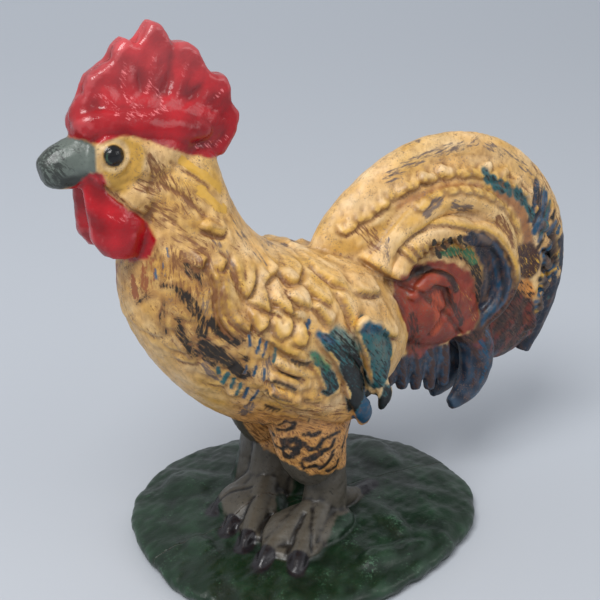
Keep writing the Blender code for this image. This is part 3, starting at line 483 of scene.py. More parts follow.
for side in (LEFT, RIGHT):
    strand(WING, 0.32, side)
    for root, middle, tip, half in PRIMARIES:
        strand([(root[0], 42.0, root[1], half * 0.6), (middle[0], 44.0, middle[1], half * 1.1),
                (tip[0], 38.0, tip[1] + 3.0, half), (tip[0], 36.0, tip[1], half * 0.4)], 0.45, side)
    for root, middle, tip in WING_BARS:
        strand([(root[0], 42.5, root[1], 1.6), (middle[0], 43.5, middle[1], 2.6),
                (tip[0], 42.5, tip[1], 2.3)], 1.0, side)
BAR_EDGES = (
    ((-38, 121), (-36.8, 118.7), (-33.2, 116.4), (-30, 115), (-26, 113.2)),
    ((-42, 116), (-37.9, 111.7), (-34.9, 109.8), (-31.1, 107.4), (-27, 106)),
    ((-42.5, 111), (-39, 107.4), (-34.4, 104.8), (-29.5, 102)),
    ((-43, 105.5), (-40, 101.8), (-36, 99), (-32, 96.6)),
    ((-44, 100), (-40.2, 97), (-34, 94.2), (-28, 92.5)),
    ((-40, 90), (-34, 90.5), (-28, 89.9), (-23.1, 88.1), (-18.8, 85.3), (-14.4, 81)),
    ((-36, 82), (-30.2, 82.6), (-24.5, 79.8), (-20, 78.1), (-17, 76.2)),
    ((-27, 95), (-25.8, 93.4), (-22.4, 92), (-17, 91)),
)
for line in BAR_EDGES:
    ledge(line, 1.1, 3.5)
PRIMARY_EDGES = (
    ((-24, 116), (-23, 110), (-19.5, 103), (-18, 98), (-15, 92)),
    ((-20.6, 124), (-18.5, 118), (-12, 109), (-6.5, 98.5), (-4.2, 90), (-1, 82)),
    ((-11, 122), (-9.5, 116), (-3, 111), (3, 105), (7, 97), (9, 86)),
    ((0, 120), (2, 114), (5.6, 104), (8.7, 94), (11, 88)),
    ((25, 106), (24, 98), (19, 88), (17, 78)),
)
for line in PRIMARY_EDGES:
    ledge(line, 1.2, 4.5)


# Tail
# A thick fan of sickle feathers that stands on its edge: a smooth rim band outside, three curled
# rows inside it, a bare hollow in the middle and a fringe of hanging coverts below.
TAIL_CENTRE = (75.5, 107.0)
TAIL_RADIUS = 82.0
RIM_BAND = ((160.0, -38.0), (9.9, 9.9, 9.4, 9.0, 8.6, 8.6, 9.0, 9.0, 8.1, 4.5))
SICKLES = (
    ((74.0, 111.0), 58.0, (168.0, -30.0), 6.0, 9.0),
    ((68.0, 120.0), 42.0, (165.0, -30.0), 6.0, 14.0),
    ((64.0, 120.0), 27.0, (160.0, 40.0), 5.5, 17.0),
    ((82.0, 116.0), 26.0, (115.0, -85.0), 6.0, 15.5),
)
LOW_SICKLE = ((70.0, 12.0, 102.0, 9.0), (88.0, 11.0, 94.0, 10.0), (99.0, 9.0, 74.0, 10.0),
              (93.0, 8.0, 52.0, 8.5), (80.0, 8.0, 47.5, 3.5))
COVERTS = ((42.0, 68.0), (50.0, 64.5), (58.5, 62.0), (67.0, 60.0), (75.5, 60.0))
INNER_CURL = ((58.0, 113.0), 14.0, (165.0, -60.0), (2.7, 4.5, 4.5, 4.0, 2.2))
BARB_ROWS = (
    (0, (164.0, 84.0), 10.0, -1.0, 5.5, 9.0),
    (0, (84.0, -26.0), 10.0, -2.0, 6.0, -9.0),
    (1, (150.0, 20.0), 13.0, 1.0, -6.0, 8.0),
)


def on_arc(centre, radius, degrees):
    angle = math.radians(degrees)
    return centre[0] + radius * math.cos(angle), centre[1] + radius * math.sin(angle)


def arc_strand(centre, radius, turn, half_widths, depth, flatness, side):
    path = []
    for index, half in enumerate(half_widths):
        degrees = turn[0] + (turn[1] - turn[0]) * index / (len(half_widths) - 1)
        x, z = on_arc(centre, radius, degrees)
        path.append((x, depth, z, half))
    strand(path, flatness, side)


ball((TAIL_CENTRE[0] - 3.0, 0.0, TAIL_CENTRE[1] + 23.0), (73.0, 17.0, 52.0))
ball((112.0, 0.0, 96.0), (32.0, 12.0, 34.0), 30.0)
arc_strand(TAIL_CENTRE, TAIL_RADIUS - 9.0, *RIM_BAND, 0.0, 0.83, LEFT)
for side in (LEFT, RIGHT):
    for centre, radius, turn, half, depth in SICKLES:
        shares = (1.0, 1.0, 1.0, 1.0, 0.95, 0.85, 0.5)
        arc_strand(centre, radius, turn, [half * share for share in shares], depth, 0.8, side)
    ball((60.0, 8.0, 108.0), (34.0, 14.0, 22.0), -20.0, side)
    arc_strand(*INNER_CURL, 20.0, 0.8, side)
    for number, turn, step, inner, outer, lean in BARB_ROWS:
        centre, radius, _, half, depth = SICKLES[number]
        face = depth + half * 0.8 - 1.0
        for index in range(int((turn[0] - turn[1]) / step)):
            degrees = turn[0] - step * (index + 0.5)
            path = []
            for share, width, lift in ((0.0, 0.7, -3.0), (0.5, 1.0, -1.6), (1.0, 0.8, -3.0)):
                x, z = on_arc(centre, radius + inner + (outer - inner) * share, degrees + lean * share)
                path.append((x, face + lift, z, 2.9 * width))
            strand(path, 0.8, side)
    strand(LOW_SICKLE, 0.8, side)
    for foot_x, foot_z in COVERTS:
        strand([(foot_x - 10.0, 10.0, 96.0, 5.8), (foot_x - 2.0, 10.0, 82.0, 5.8),
                (foot_x, 8.0, foot_z, 2.9)], 0.8, side)


def lobes(line, pace, size, rise):
    """A row of overlapping barbs along a line, with their tips back towards its start."""
    line = np.array(line, dtype=float)
    steps = np.linalg.norm(np.diff(line, axis=0), axis=1)
    marks = np.concatenate(([0.0], np.cumsum(steps)))
    for place in np.arange(pace / 2, marks[-1], pace):
        spot = np.array([np.interp(place, marks, line[:, axis]) for axis in (0, 1)])
        ahead = np.array([np.interp(place + 1.0, marks, line[:, axis]) for axis in (0, 1)]) - spot
        ahead /= max(np.linalg.norm(ahead), 1e-6)
        outwards = np.array((-ahead[1], ahead[0]))
        path = [spot + size * (ahead * a + outwards * b) for a, b in
                ((-0.9, 0.9), (-1.2, 0.3), (-0.9, -0.05), (-0.1, -0.1), (0.9, 0.1), (1.7, 0.4))]
        ledge([tuple(point) for point in path], rise, size * 0.8)


OUTER_BARBS = ((15.6, 150.9), (23.7, 155.5), (31.3, 158.9), (37, 162.8), (46.3, 166.6), (55.2, 169.2),
               (63.6, 169.8), (73.5, 169.8), (86.5, 167.8), (95.0, 165.0), (104.0, 161.0), (112.0, 155.0))
SECOND_BARBS = ((50, 158.5), (57, 162), (64, 164), (74, 163.5), (84, 160.5), (93, 156), (102, 149.5),
                (108, 142), (113, 134))
THIRD_EDGE = ((31, 130), (33.2, 137), (36.7, 143.1), (40.7, 146.3), (46.5, 149.4), (55.1, 151),
              (62.5, 150.6), (70.6, 148), (78, 145), (86, 143), (93, 138.5), (100, 130.5), (105, 122),
              (107.5, 113), (105.5, 105), (100, 99), (92, 94))
lobes(OUTER_BARBS, 9.0, 5.0, 1.5)
lobes(SECOND_BARBS, 8.0, 4.0, 1.1)
ledge(THIRD_EDGE, 1.5, 5.0)
for number in range(8):
    start = 38.0 + 5.0 * number
    ledge([(start, 144.5), (start + 3.0, 140.0), (start + 8.5, 133.5)], 1.2, 2.6)
for number in range(24):
    degrees = 44.0 - 3.0 * number
    ledge([on_arc(TAIL_CENTRE, 73.0, degrees), on_arc(TAIL_CENTRE, 66.0, degrees - 4.5),
           on_arc(TAIL_CENTRE, 57.0, degrees - 8.0)], 1.1, 2.6)
RUST_FOLDS = (
    ((41, 124), (48, 120), (57, 112), (66, 103.5), (77, 91)),
    ((56, 121), (63, 118), (65.5, 110), (62.5, 104), (57, 95.5)),
)
for line in RUST_FOLDS:
    ridge(line, [2.2] * len(line), -1.6)
ridge([on_arc(TAIL_CENTRE, TAIL_RADIUS - 17.0, degrees) for degrees in range(60, -35, -8)], [2.0] * 12, -1.2)


# Thighs, legs and feet
# Feathered thighs end in a ragged hem over short thick legs. Each foot is a broad web with
# creases between its toes and separate dark claws.
LEFT_THIGH = ((-8.0, 17.0, 80.0, 21.0), (-10.0, 20.0, 63.0, 20.0), (-10.0, 20.0, 51.0, 17.0),
              (-5.0, 19.0, 42.0, 11.0))
RIGHT_THIGH = ((-17.0, 14.0, 80.0, 19.0), (-18.0, 17.0, 63.0, 16.5), (-15.0, 16.0, 53.0, 12.5),
               (-13.0, 15.0, 47.0, 9.0))
LEFT_SHANK = ((1.0, 18.0, 54.0, 9.5), (1.5, 17.0, 34.0, 10.0), (0.0, 17.0, 18.0, 12.0))
RIGHT_SHANK = ((-10.0, 15.0, 56.0, 8.5), (-9.5, 15.0, 34.0, 9.5), (-12.0, 15.0, 18.0, 12.5))
LEFT_WEB = ((12.0, -8.0), (-1.0, -28.0), (-19.0, -43.0), (-30.0, -43.0), (-39.0, -31.0),
            (-38.0, -22.0), (-17.0, -10.0), (-5.0, -6.0))
RIGHT_WEB = ((-4.0, 32.0), (-21.0, 30.0), (-36.0, 22.0), (-40.0, 6.0), (-41.0, -12.0),
             (-37.0, -22.0), (-24.0, -12.0), (-18.0, 1.0), (-6.0, 7.0))
LEFT_INSTEP = ((-12.0, -22.0, 14.0), (24.0, 16.0, 8.0))
RIGHT_INSTEP = ((-25.0, 9.0, 14.5), (17.0, 17.0, 9.0))
LEFT_ANKLE = (0.0, -17.0, 23.0)
RIGHT_ANKLE = (-12.0, 15.0, 24.0)
LEFT_TOES = (
    ((-37.0, -29.0, 13.5), (-45.5, -35.5, 11.0)),
    ((-27.5, -40.0, 13.5), (-33.5, -47.0, 11.0)),
    ((23.0, -9.0, 13.0), (36.0, -4.0, 11.5)),
)
RIGHT_TOES = (
    ((-36.0, 18.0, 13.5), (-44.0, 13.0, 11.0)),
    ((-38.0, 1.5, 13.5), (-46.5, -5.0, 11.0)),
    ((-38.5, -13.0, 13.5), (-46.0, -20.0, 11.0)),
)
FEET = ((LEFT_ANKLE, LEFT_TOES, LEFT_WEB, LEFT_INSTEP), (RIGHT_ANKLE, RIGHT_TOES, RIGHT_WEB, RIGHT_INSTEP))
for side, thigh, shank in ((LEFT, LEFT_THIGH, LEFT_SHANK), (RIGHT, RIGHT_THIGH, RIGHT_SHANK)):
    ball((thigh[0][0], thigh[0][1], 80.0), (24.0, 18.0, 24.0), -30.0, side)
    strand(thigh, 0.85, side)
    strand(shank, 0.8, side)
for ankle, toes, web, instep in FEET:
    plate(web, 3.75, 2.0, Matrix.Translation((0.0, 0.0, 11.75 * MM)))
    ball(*instep)
    for toe, claw in toes:
        middle = [(start + end) / 2 for start, end in zip(ankle, toe)]
        strand([(*spot, half) for spot, half in zip((ankle, middle, toe), (7.0, 5.4, 4.2))], side=RIGHT)
        middle = [(start + end) / 2 for start, end in zip(toe, claw)]
        middle[2] += 1.0
        strand([(*spot, half) for spot, half in zip((toe, middle, claw), (3.8, 3.7, 2.0))], side=RIGHT)


# The pattern
# Everything above is blended into one carved pattern. The feathers' edges, the folds, the creases of
# the webs and the mound's rough ground are cut into its skin, and wells are bored for the screws.
FINENESS = 0.9
KEPT_SHARE = 0.8
FILLET_ROUNDS = 5
LEVEL_ROUNDS = 12


def joined(meshes):
    form = bmesh.new()
    for mesh in meshes:
        form.from_mesh(mesh)
    return from_bmesh(form, "joined")


def fused(meshes, fineness, smoothing):
    thing = placed("fused", joined(meshes))
    blend = thing.modifiers.new("Blend", "REMESH")
    blend.mode = "VOXEL"
    blend.voxel_size = fineness * MM
    fillet = thing.modifiers.new("Fillet", "SMOOTH")
    fillet.factor = 0.5
    fillet.iterations = smoothing
    return finished(thing)


pattern = fused(forms, FINENESS, FILLET_ROUNDS)


def read_points(mesh):
    flat = np.empty(len(mesh.vertices) * 3, dtype=np.float32)
    mesh.vertices.foreach_get("co", flat)
    return flat.reshape(-1, 3).astype(float)


def read_normals(mesh):
    flat = np.empty(len(mesh.vertices) * 3, dtype=np.float32)
    mesh.vertex_normals.foreach_get("vector", flat)
    return flat.reshape(-1, 3).astype(float)


def read_joins(mesh):
    joins = np.empty(len(mesh.edges) * 2, dtype=np.int32)
    mesh.edges.foreach_get("vertices", joins)
    return joins.reshape(-1, 2)


FAR_OFF = 300.0
OVER_THE_FEET = 34.0
DEPTH_COUNTS_LESS = np.array((1.0, 0.3, 1.0))
blank_form = bmesh.new()
blank_form.from_mesh(pattern)
blank = BVHTree.FromBMesh(blank_form)
blank_form.free()


def lifted(points):
    """Places of a drawn line on the blank's left side, with the depth counted from the middle."""
    line = []
    for x, z in points:
        spot = blank.ray_cast(Vector((x, -FAR_OFF, z)) * MM, Vector((0.0, 1.0, 0.0)))[0]
        line.append((x, 0.0 if spot is None else -spot.y / MM, z))
    return np.array(line, dtype=float)


def on_top(points):
    """Places of a line drawn in plan on the blank's upper side near the feet."""
    line = []
    for x, y in points:
        spot = blank.ray_cast(Vector((x, y, OVER_THE_FEET)) * MM, Vector((0.0, 0.0, -1.0)))[0]
        line.append((x, y, 12.0 if spot is None else spot.z / MM))
    return np.array(line, dtype=float)


def pieces_of(line, places):
    """Each straight piece of a line, as its number and step, with the offset, share and distance of
    each place from it, and how far along the whole line that is."""
    steps = np.diff(line, axis=0)
    lengths = np.maximum(np.linalg.norm(steps, axis=1), 1e-6)
    starts = np.concatenate(([0.0], np.cumsum(lengths)))
    for index, (start, step, length) in enumerate(zip(line, steps, lengths)):
        offset = places - start
        part = np.clip(offset @ step / length ** 2, 0.0, 1.0)
        gap = np.linalg.norm(offset - part[:, None] * step, axis=1)
        yield index, step, offset, part, gap, (starts[index] + part * length) / starts[-1]


def near_to(line, places, margin):
    """The numbers of the places that lie within a margin of a line's box."""
    low, high = line.min(axis=0) - margin, line.max(axis=0) + margin
    return np.nonzero(((places > low) & (places < high)).all(axis=1))[0]


def stroke_field(places, line, half_widths):
    """How many mm each place lies inside a stroke's edge, below 0 outside."""
    inside = np.full(len(places), -99.0)
    near = near_to(line, places, max(half_widths) + 2.5)
    for index, _, _, part, gap, _ in pieces_of(line, places[near]):
        width = half_widths[index] + (half_widths[index + 1] - half_widths[index]) * part
        inside[near] = np.maximum(inside[near], width - gap)
    return inside


def on_both_sides(places):
    """The places with the right side folded onto the left, so that one mark is made on both."""
    return np.stack((places[:, 0], np.abs(places[:, 1]), places[:, 2]), axis=1)


def edge_fields(places):
    """Height of the lifted feathers, the painted shade in the crevices below their edges, and the coloured
    rims just inside the edges.
    """
    proud = np.zeros(len(places))
    sunk = np.zeros(len(places))
    crevice_shade = np.zeros(len(places))
    rim = np.zeros(len(places))
    flattened = on_both_sides(places) * DEPTH_COUNTS_LESS
    for line, rise, reach in edge_lines:
        line = line * DEPTH_COUNTS_LESS
        near = near_to(line, flattened, reach * 2.2)
        gap = np.full(len(near), 1e9)
        hand = np.zeros(len(near))
        share = np.zeros(len(near))
        for _, step, offset, _, far, along in pieces_of(line, flattened[near]):
            better = far < gap
            gap[better] = far[better]
            hand[better] = (step[0] * offset[:, 2] - step[2] * offset[:, 0])[better]
            share[better] = along[better]
        ends = np.clip(np.minimum(share, 1.0 - share) * 5.0, 0.0, 1.0)
        within = hand > 0.0
        inner = rise * np.exp(-(gap / reach) ** 2) * ends
        outer = rise * np.interp(gap, (0.0, 0.8, 1.3, 2.8), (1.0, 0.05, -0.45, 0.0)) * ends
        proud[near] = np.maximum(proud[near], np.where(within, inner, outer))
        sunk[near] = np.minimum(sunk[near], np.where(within, 0.0, outer))
        weight = ends * min(1.0, rise / 1.2)
        # Painted shade: brown that falls in the crevice just below each lifted edge.
        shade_below_edge = weight * np.interp(gap, (0.0, 0.5, 1.4, 2.8), (0.2, 1.0, 0.8, 0.0))
        colour = weight * np.interp(gap, (0.0, 0.7, 1.6, 3.0), (0.2, 1.0, 0.8, 0.0))
        crevice_shade[near] = np.maximum(crevice_shade[near], np.where(within, 0.0, shade_below_edge))
        rim[near] = np.maximum(rim[near], np.where(within, colour, 0.0))
    return proud + sunk, crevice_shade, rim


def ridge_field(places):
    height = np.zeros(len(places))
    folded = on_both_sides(places)
    for line, half_widths, rise in ridge_lines:
        level = np.clip(stroke_field(folded, line, half_widths) / max(half_widths), 0.0, 1.0)
        height += rise * level * level * (3.0 - 2.0 * level)
    return height


def wander(places, size, seed):
    """A smooth wavering value between about -1 and 1, with waves of the given size in mm."""
    draw = np.random.default_rng(seed)
    total = np.zeros(len(places))
    for _ in range(6):
        direction = draw.normal(size=3)
        direction *= draw.uniform(0.7, 1.5) / np.linalg.norm(direction) * math.tau / size
        total += np.sin(places @ direction + draw.uniform(0.0, math.tau))
    return total / 3.0


def averaged(values, joins, rounds):
    """Values at the vertices, each round averaged with the neighbours' values."""
    count = np.bincount(joins.ravel(), minlength=len(values))[:, None] + 1e-9
    for _ in range(rounds):
        total = np.stack([np.bincount(joins[:, 0], values[joins[:, 1], axis], len(values))
                          + np.bincount(joins[:, 1], values[joins[:, 0], axis], len(values))
                          for axis in range(values.shape[1])], axis=1)
        values = 0.5 * values + 0.5 * total / count
    return values


WEB_CREASES = (
    ((-40, 14), (-33, 12), (-26, 8)),
    ((-43, -6), (-35, -3), (-28, 1)),
    ((-38, -22), (-31, -14), (-24, -8)),
    ((-33, -38), (-25, -31), (-16, -25)),
    ((-22, -42), (-17, -33), (-11, -25)),
    ((4, -12), (10, -10), (18, -9)),
)
CREASE_HALF = 1.6
CREASE_DEPTH = 0.8
GROUND_TOP = 16.0
GROUND_ROUGHNESS = 0.75
SKIN_WAVES = ((0.14, 9.0, 34), (0.1, 4.0, 35))
GROUND_WAVES = ((0.75, 24.0, 31), (0.4, 11.0, 32), (0.22, 5.0, 33))


def waves(places, rows):
    """The sum of wavering values, each given by its height, size and seed."""
    return sum(height * wander(places, size, seed) for height, size, seed in rows)


edge_lines = [(lifted(line), rise, reach) for line, rise, reach in edges]
ridge_lines = [(lifted(line), halves, rise) for line, halves, rise in ridges]
points = read_points(pattern)
normals = read_normals(pattern)
places = points / MM
relief = edge_fields(places)[0] + ridge_field(places)
for line in WEB_CREASES:
    groove = stroke_field(places, on_top(line), [CREASE_HALF] * len(line))
    relief -= CREASE_DEPTH * np.clip(groove / CREASE_HALF, 0.0, 1.0)
ground = np.clip((GROUND_TOP - places[:, 2]) / 3.0, 0.0, 1.0)
relief += ground * waves(places, GROUND_WAVES) * GROUND_ROUGHNESS
relief += (1.0 - ground) * waves(places, SKIN_WAVES)
points += normals * (relief * MM)[:, None]
joins = read_joins(pattern)
points = averaged(points, joins, 1)
pattern.vertices.foreach_set("co", points.astype(np.float32).ravel())
pattern.update()
thing = placed("pattern", pattern)
thinner = thing.modifiers.new("Thinner", "DECIMATE")
thinner.ratio = KEPT_SHARE
pattern = finished(thing)
points = read_points(pattern)
level = averaged(points, read_joins(pattern), LEVEL_ROUNDS)
hollowness = ((level - points) * read_normals(pattern)).sum(axis=1) / MM
store = pattern.attributes.new("hollowness", "FLOAT", "POINT")
store.data.foreach_set("value", hollowness.astype(np.float32))

# Three round wells let the screw heads sink into the right casting.
SCREWS = ("neck_screw", "tail_screw", "belly_screw")
WELL_HALF = 5.3
WELL_FLOOR = 14.0
WELL_REACH = 60.0
wells_form = bmesh.new()
for screw in SCREWS:
    middle = (Vector(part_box(screw)[0]) + Vector(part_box(screw)[1])) / 2 / MM
    centre = Vector((middle.x + MIDDLE_X, WELL_FLOOR + WELL_REACH / 2, middle.z)) * MM
    bmesh.ops.create_cone(wells_form, cap_ends=True, segments=32, radius1=WELL_HALF * MM,
                          radius2=WELL_HALF * MM, depth=WELL_REACH * MM,
                          matrix=Matrix.Translation(centre) @ Matrix.Rotation(math.pi / 2, 4, "X"))
wells = placed("wells", from_bmesh(wells_form, "wells"))
bored = placed("bored", pattern)
drill = bored.modifiers.new("Wells", "BOOLEAN")
drill.operation = "DIFFERENCE"
drill.solver = "EXACT"
drill.object = wells
pattern = finished(bored, 0.0001)
bpy.data.objects.remove(wells)


CRUMB = 200


def cleaned(mesh):
    """The mesh in triangles, without the doubled faces and the crumbs that blending and boring leave."""
    form = bmesh.new()
    form.from_mesh(mesh)
    bmesh.ops.triangulate(form, faces=form.faces)
    same = {}
    for face in form.faces:
        same.setdefault(frozenset(face.verts), []).append(face)
    stray = [face for faces in same.values() if len(faces) > 1 for face in faces]
    bmesh.ops.delete(form, geom=stray, context="FACES")
    waiting = set(form.faces)
    crumbs = []
    while waiting:
        lump = [waiting.pop()]
        for face in lump:
            beside = {other for edge in face.edges for other in edge.link_faces} & waiting
            waiting -= beside
            lump += beside
        if len(lump) < CRUMB:
            crumbs += lump
    bmesh.ops.delete(form, geom=crumbs, context="FACES")
    return from_bmesh(form, "pattern")


pattern = cleaned(pattern)


# Paint
# Coats of glossy enamel are brushed over the whole pattern by hand: a full coat, over it a dry-brushed
# colour that only catches in streaks, and everywhere a finish of gloss, painted crevice shade and specks.
def shade(red, green, blue):
    """A colour as it looks on screen, 0 to 255, in the shader's own light scale."""
    channels = np.array((red, green, blue), dtype=float) / 255.0
    return np.where(channels <= 0.04045, channels / 12.92, ((channels + 0.055) / 1.055) ** 2.4)


def inside_outline(places, outline):
    """Distance in mm inside a closed outline on the drawing, below 0 outside."""
    x, z = places[:, 0], places[:, 2]
    within = np.zeros(len(places), bool)
    gap = np.full(len(places), 1e9)
    for (ax, az), (bx, bz) in zip(outline, outline[1:] + outline[:1]):
        step_x, step_z = bx - ax, bz - az
        part = np.clip(((x - ax) * step_x + (z - az) * step_z) / (step_x ** 2 + step_z ** 2 + 1e-9), 0, 1)
        gap = np.minimum(gap, np.hypot(x - ax - part * step_x, z - az - part * step_z))
        crosses = (az > z) != (bz > z)
        cross_x = ax + (z - az) * step_x / (step_z if step_z else 1e-9)
        within ^= crosses & (x < cross_x)
    return np.where(within, gap, -gap)


def soft(value, width):
    return np.clip(0.5 + value / width, 0.0, 1.0)


CREAM = shade(240, 212, 168)
PEACH = shade(219, 171, 106)
OCHRE = shade(206, 158, 58)
BROWN = shade(122, 78, 42)
RUST_BROWN = shade(140, 78, 42)
UMBER = shade(12, 8, 6)
GREY_BROWN = shade(108, 90, 80)
ORANGE = shade(206, 136, 62)
RED = shade(178, 16, 28)
DEEP_RED = shade(104, 4, 10)
# Pink serves only as painted highlight on the comb and wattles.
PINK = shade(226, 120, 122)
FACE_OCHRE = shade(194, 148, 62)
BEAK_GREY = shade(96, 104, 97)
BEAK_DARK = shade(48, 52, 48)
BLACK = shade(8, 8, 10)
NAVY = shade(22, 34, 52)
BLUE = shade(0, 70, 100)
STEEL_BLUE = shade(62, 88, 112)
TEAL = shade(28, 88, 92)
PALE_TEAL = shade(104, 126, 116)
LEAF_GREEN = shade(40, 106, 70)
GREEN = shade(5, 34, 13)
PALE_GREEN = shade(64, 96, 72)
RUST = shade(132, 46, 28)
BRIGHT_RUST = shade(168, 74, 46)
DARK_RUST = shade(62, 36, 28)
LEG_GREY = shade(78, 72, 62)
CLAW = shade(24, 20, 24)

EDGE_WAVER = 0.7
WAVER_LENGTH = 5.0
HOLLOW_DEPTH = 0.35
BODY_GLOSS = 0.35
BODY_SPECKS = 0.45

places = read_points(pattern) / MM
hollowness = np.empty(len(places), dtype=np.float32)
pattern.attributes["hollowness"].data.foreach_get("value", hollowness)
count = len(places)
x, z = places[:, 0], places[:, 2]
folded = on_both_sides(places)
waver = wander(places, WAVER_LENGTH, 3) * EDGE_WAVER
# low marks the hollows and high the raised spots; colours laid by them are painted shade and painted
# highlight.
low = np.clip(hollowness / HOLLOW_DEPTH, 0.0, 1.0)
high = np.clip(-hollowness / HOLLOW_DEPTH, 0.0, 1.0)
crevice_shade, rim = edge_fields(places)[1:]
coat = np.tile(PEACH, (count, 1))
brush = np.tile(UMBER, (count, 1))
cover = np.zeros(count)
gloss = np.full(count, BODY_GLOSS)
bristles = np.stack((0.75 * x + 0.66 * z, 0.66 * x - 0.75 * z, places[:, 1]), axis=1)


def lay(colour, amount, shine=None):
    """Brush a full coat over the pattern, as thick as the amount says."""
    amount = np.clip(amount, 0.0, 1.0)
    coat[:] += (colour - coat) * amount[:, None]
    if shine is not None:
        gloss[:] += (shine - gloss) * amount


def dry(colour, amount):
    """Catch the surface with a nearly dry brush, where it covers more than what is there."""
    stronger = amount > cover
    brush[stronger] = colour
    cover[stronger] = amount[stronger]


def bare(amount):
    """Take the dry-brushed colour off again."""
    cover[:] *= 1.0 - np.clip(amount, 0.0, 1.0)


def stroke(line, half):
    return stroke_field(folded, lifted(line), [half] * len(line)) + waver * 0.6


def drag(colour, line, half, strength):
    """Dry-brush one patch, with the bristles' marks along the stroke."""
    path = lifted(line)
    way = (path[-1] - path[0]) / np.linalg.norm(path[-1] - path[0])
    offset = folded - path[0]
    across = way[0] * offset[:, 2] - way[2] * offset[:, 0]
    inside = stroke(line, half)
    amount = soft(inside, half * 0.9) * strength
    if colour is UMBER:
        lay(BROWN, soft(inside + 0.3, 1.6) * 0.5)
    marked = amount > 0.02
    bristles[marked] = np.stack((across, offset @ way, np.full(count, 3.0 * line[0][0])), axis=1)[marked]
    dry(colour, amount)


# Body colours
# The body is cream over ochre, with a painted highlight of cream on its raised spots and painted shade of
# brown in its hollows and under the feathers' edges, brown on the throat and breast, black dry-brushed
# patches, rows of blue dabs, dark teeth under the wing's bars and orange thighs.
THROAT = [(-92, 172), (-80, 174), (-72, 184), (-64, 178), (-60, 166), (-61, 150), (-66, 138), (-76, 136),
          (-88, 142), (-96, 150), (-96, 166)]
BIB = [(-90, 172), (-84, 188), (-72, 199), (-56, 194), (-45, 176), (-50, 160), (-52, 140), (-46, 118),
       (-50, 104), (-62, 104), (-80, 122), (-92, 146)]
BELLY = [(-60, 110), (-44, 116), (-20, 92), (12, 76), (14, 66), (-40, 66), (-56, 84)]
THIGH_AREA = [(-50, 92), (-34, 86), (-20, 80), (-4, 78), (10, 78), (22, 72), (20, 30), (-46, 30)]
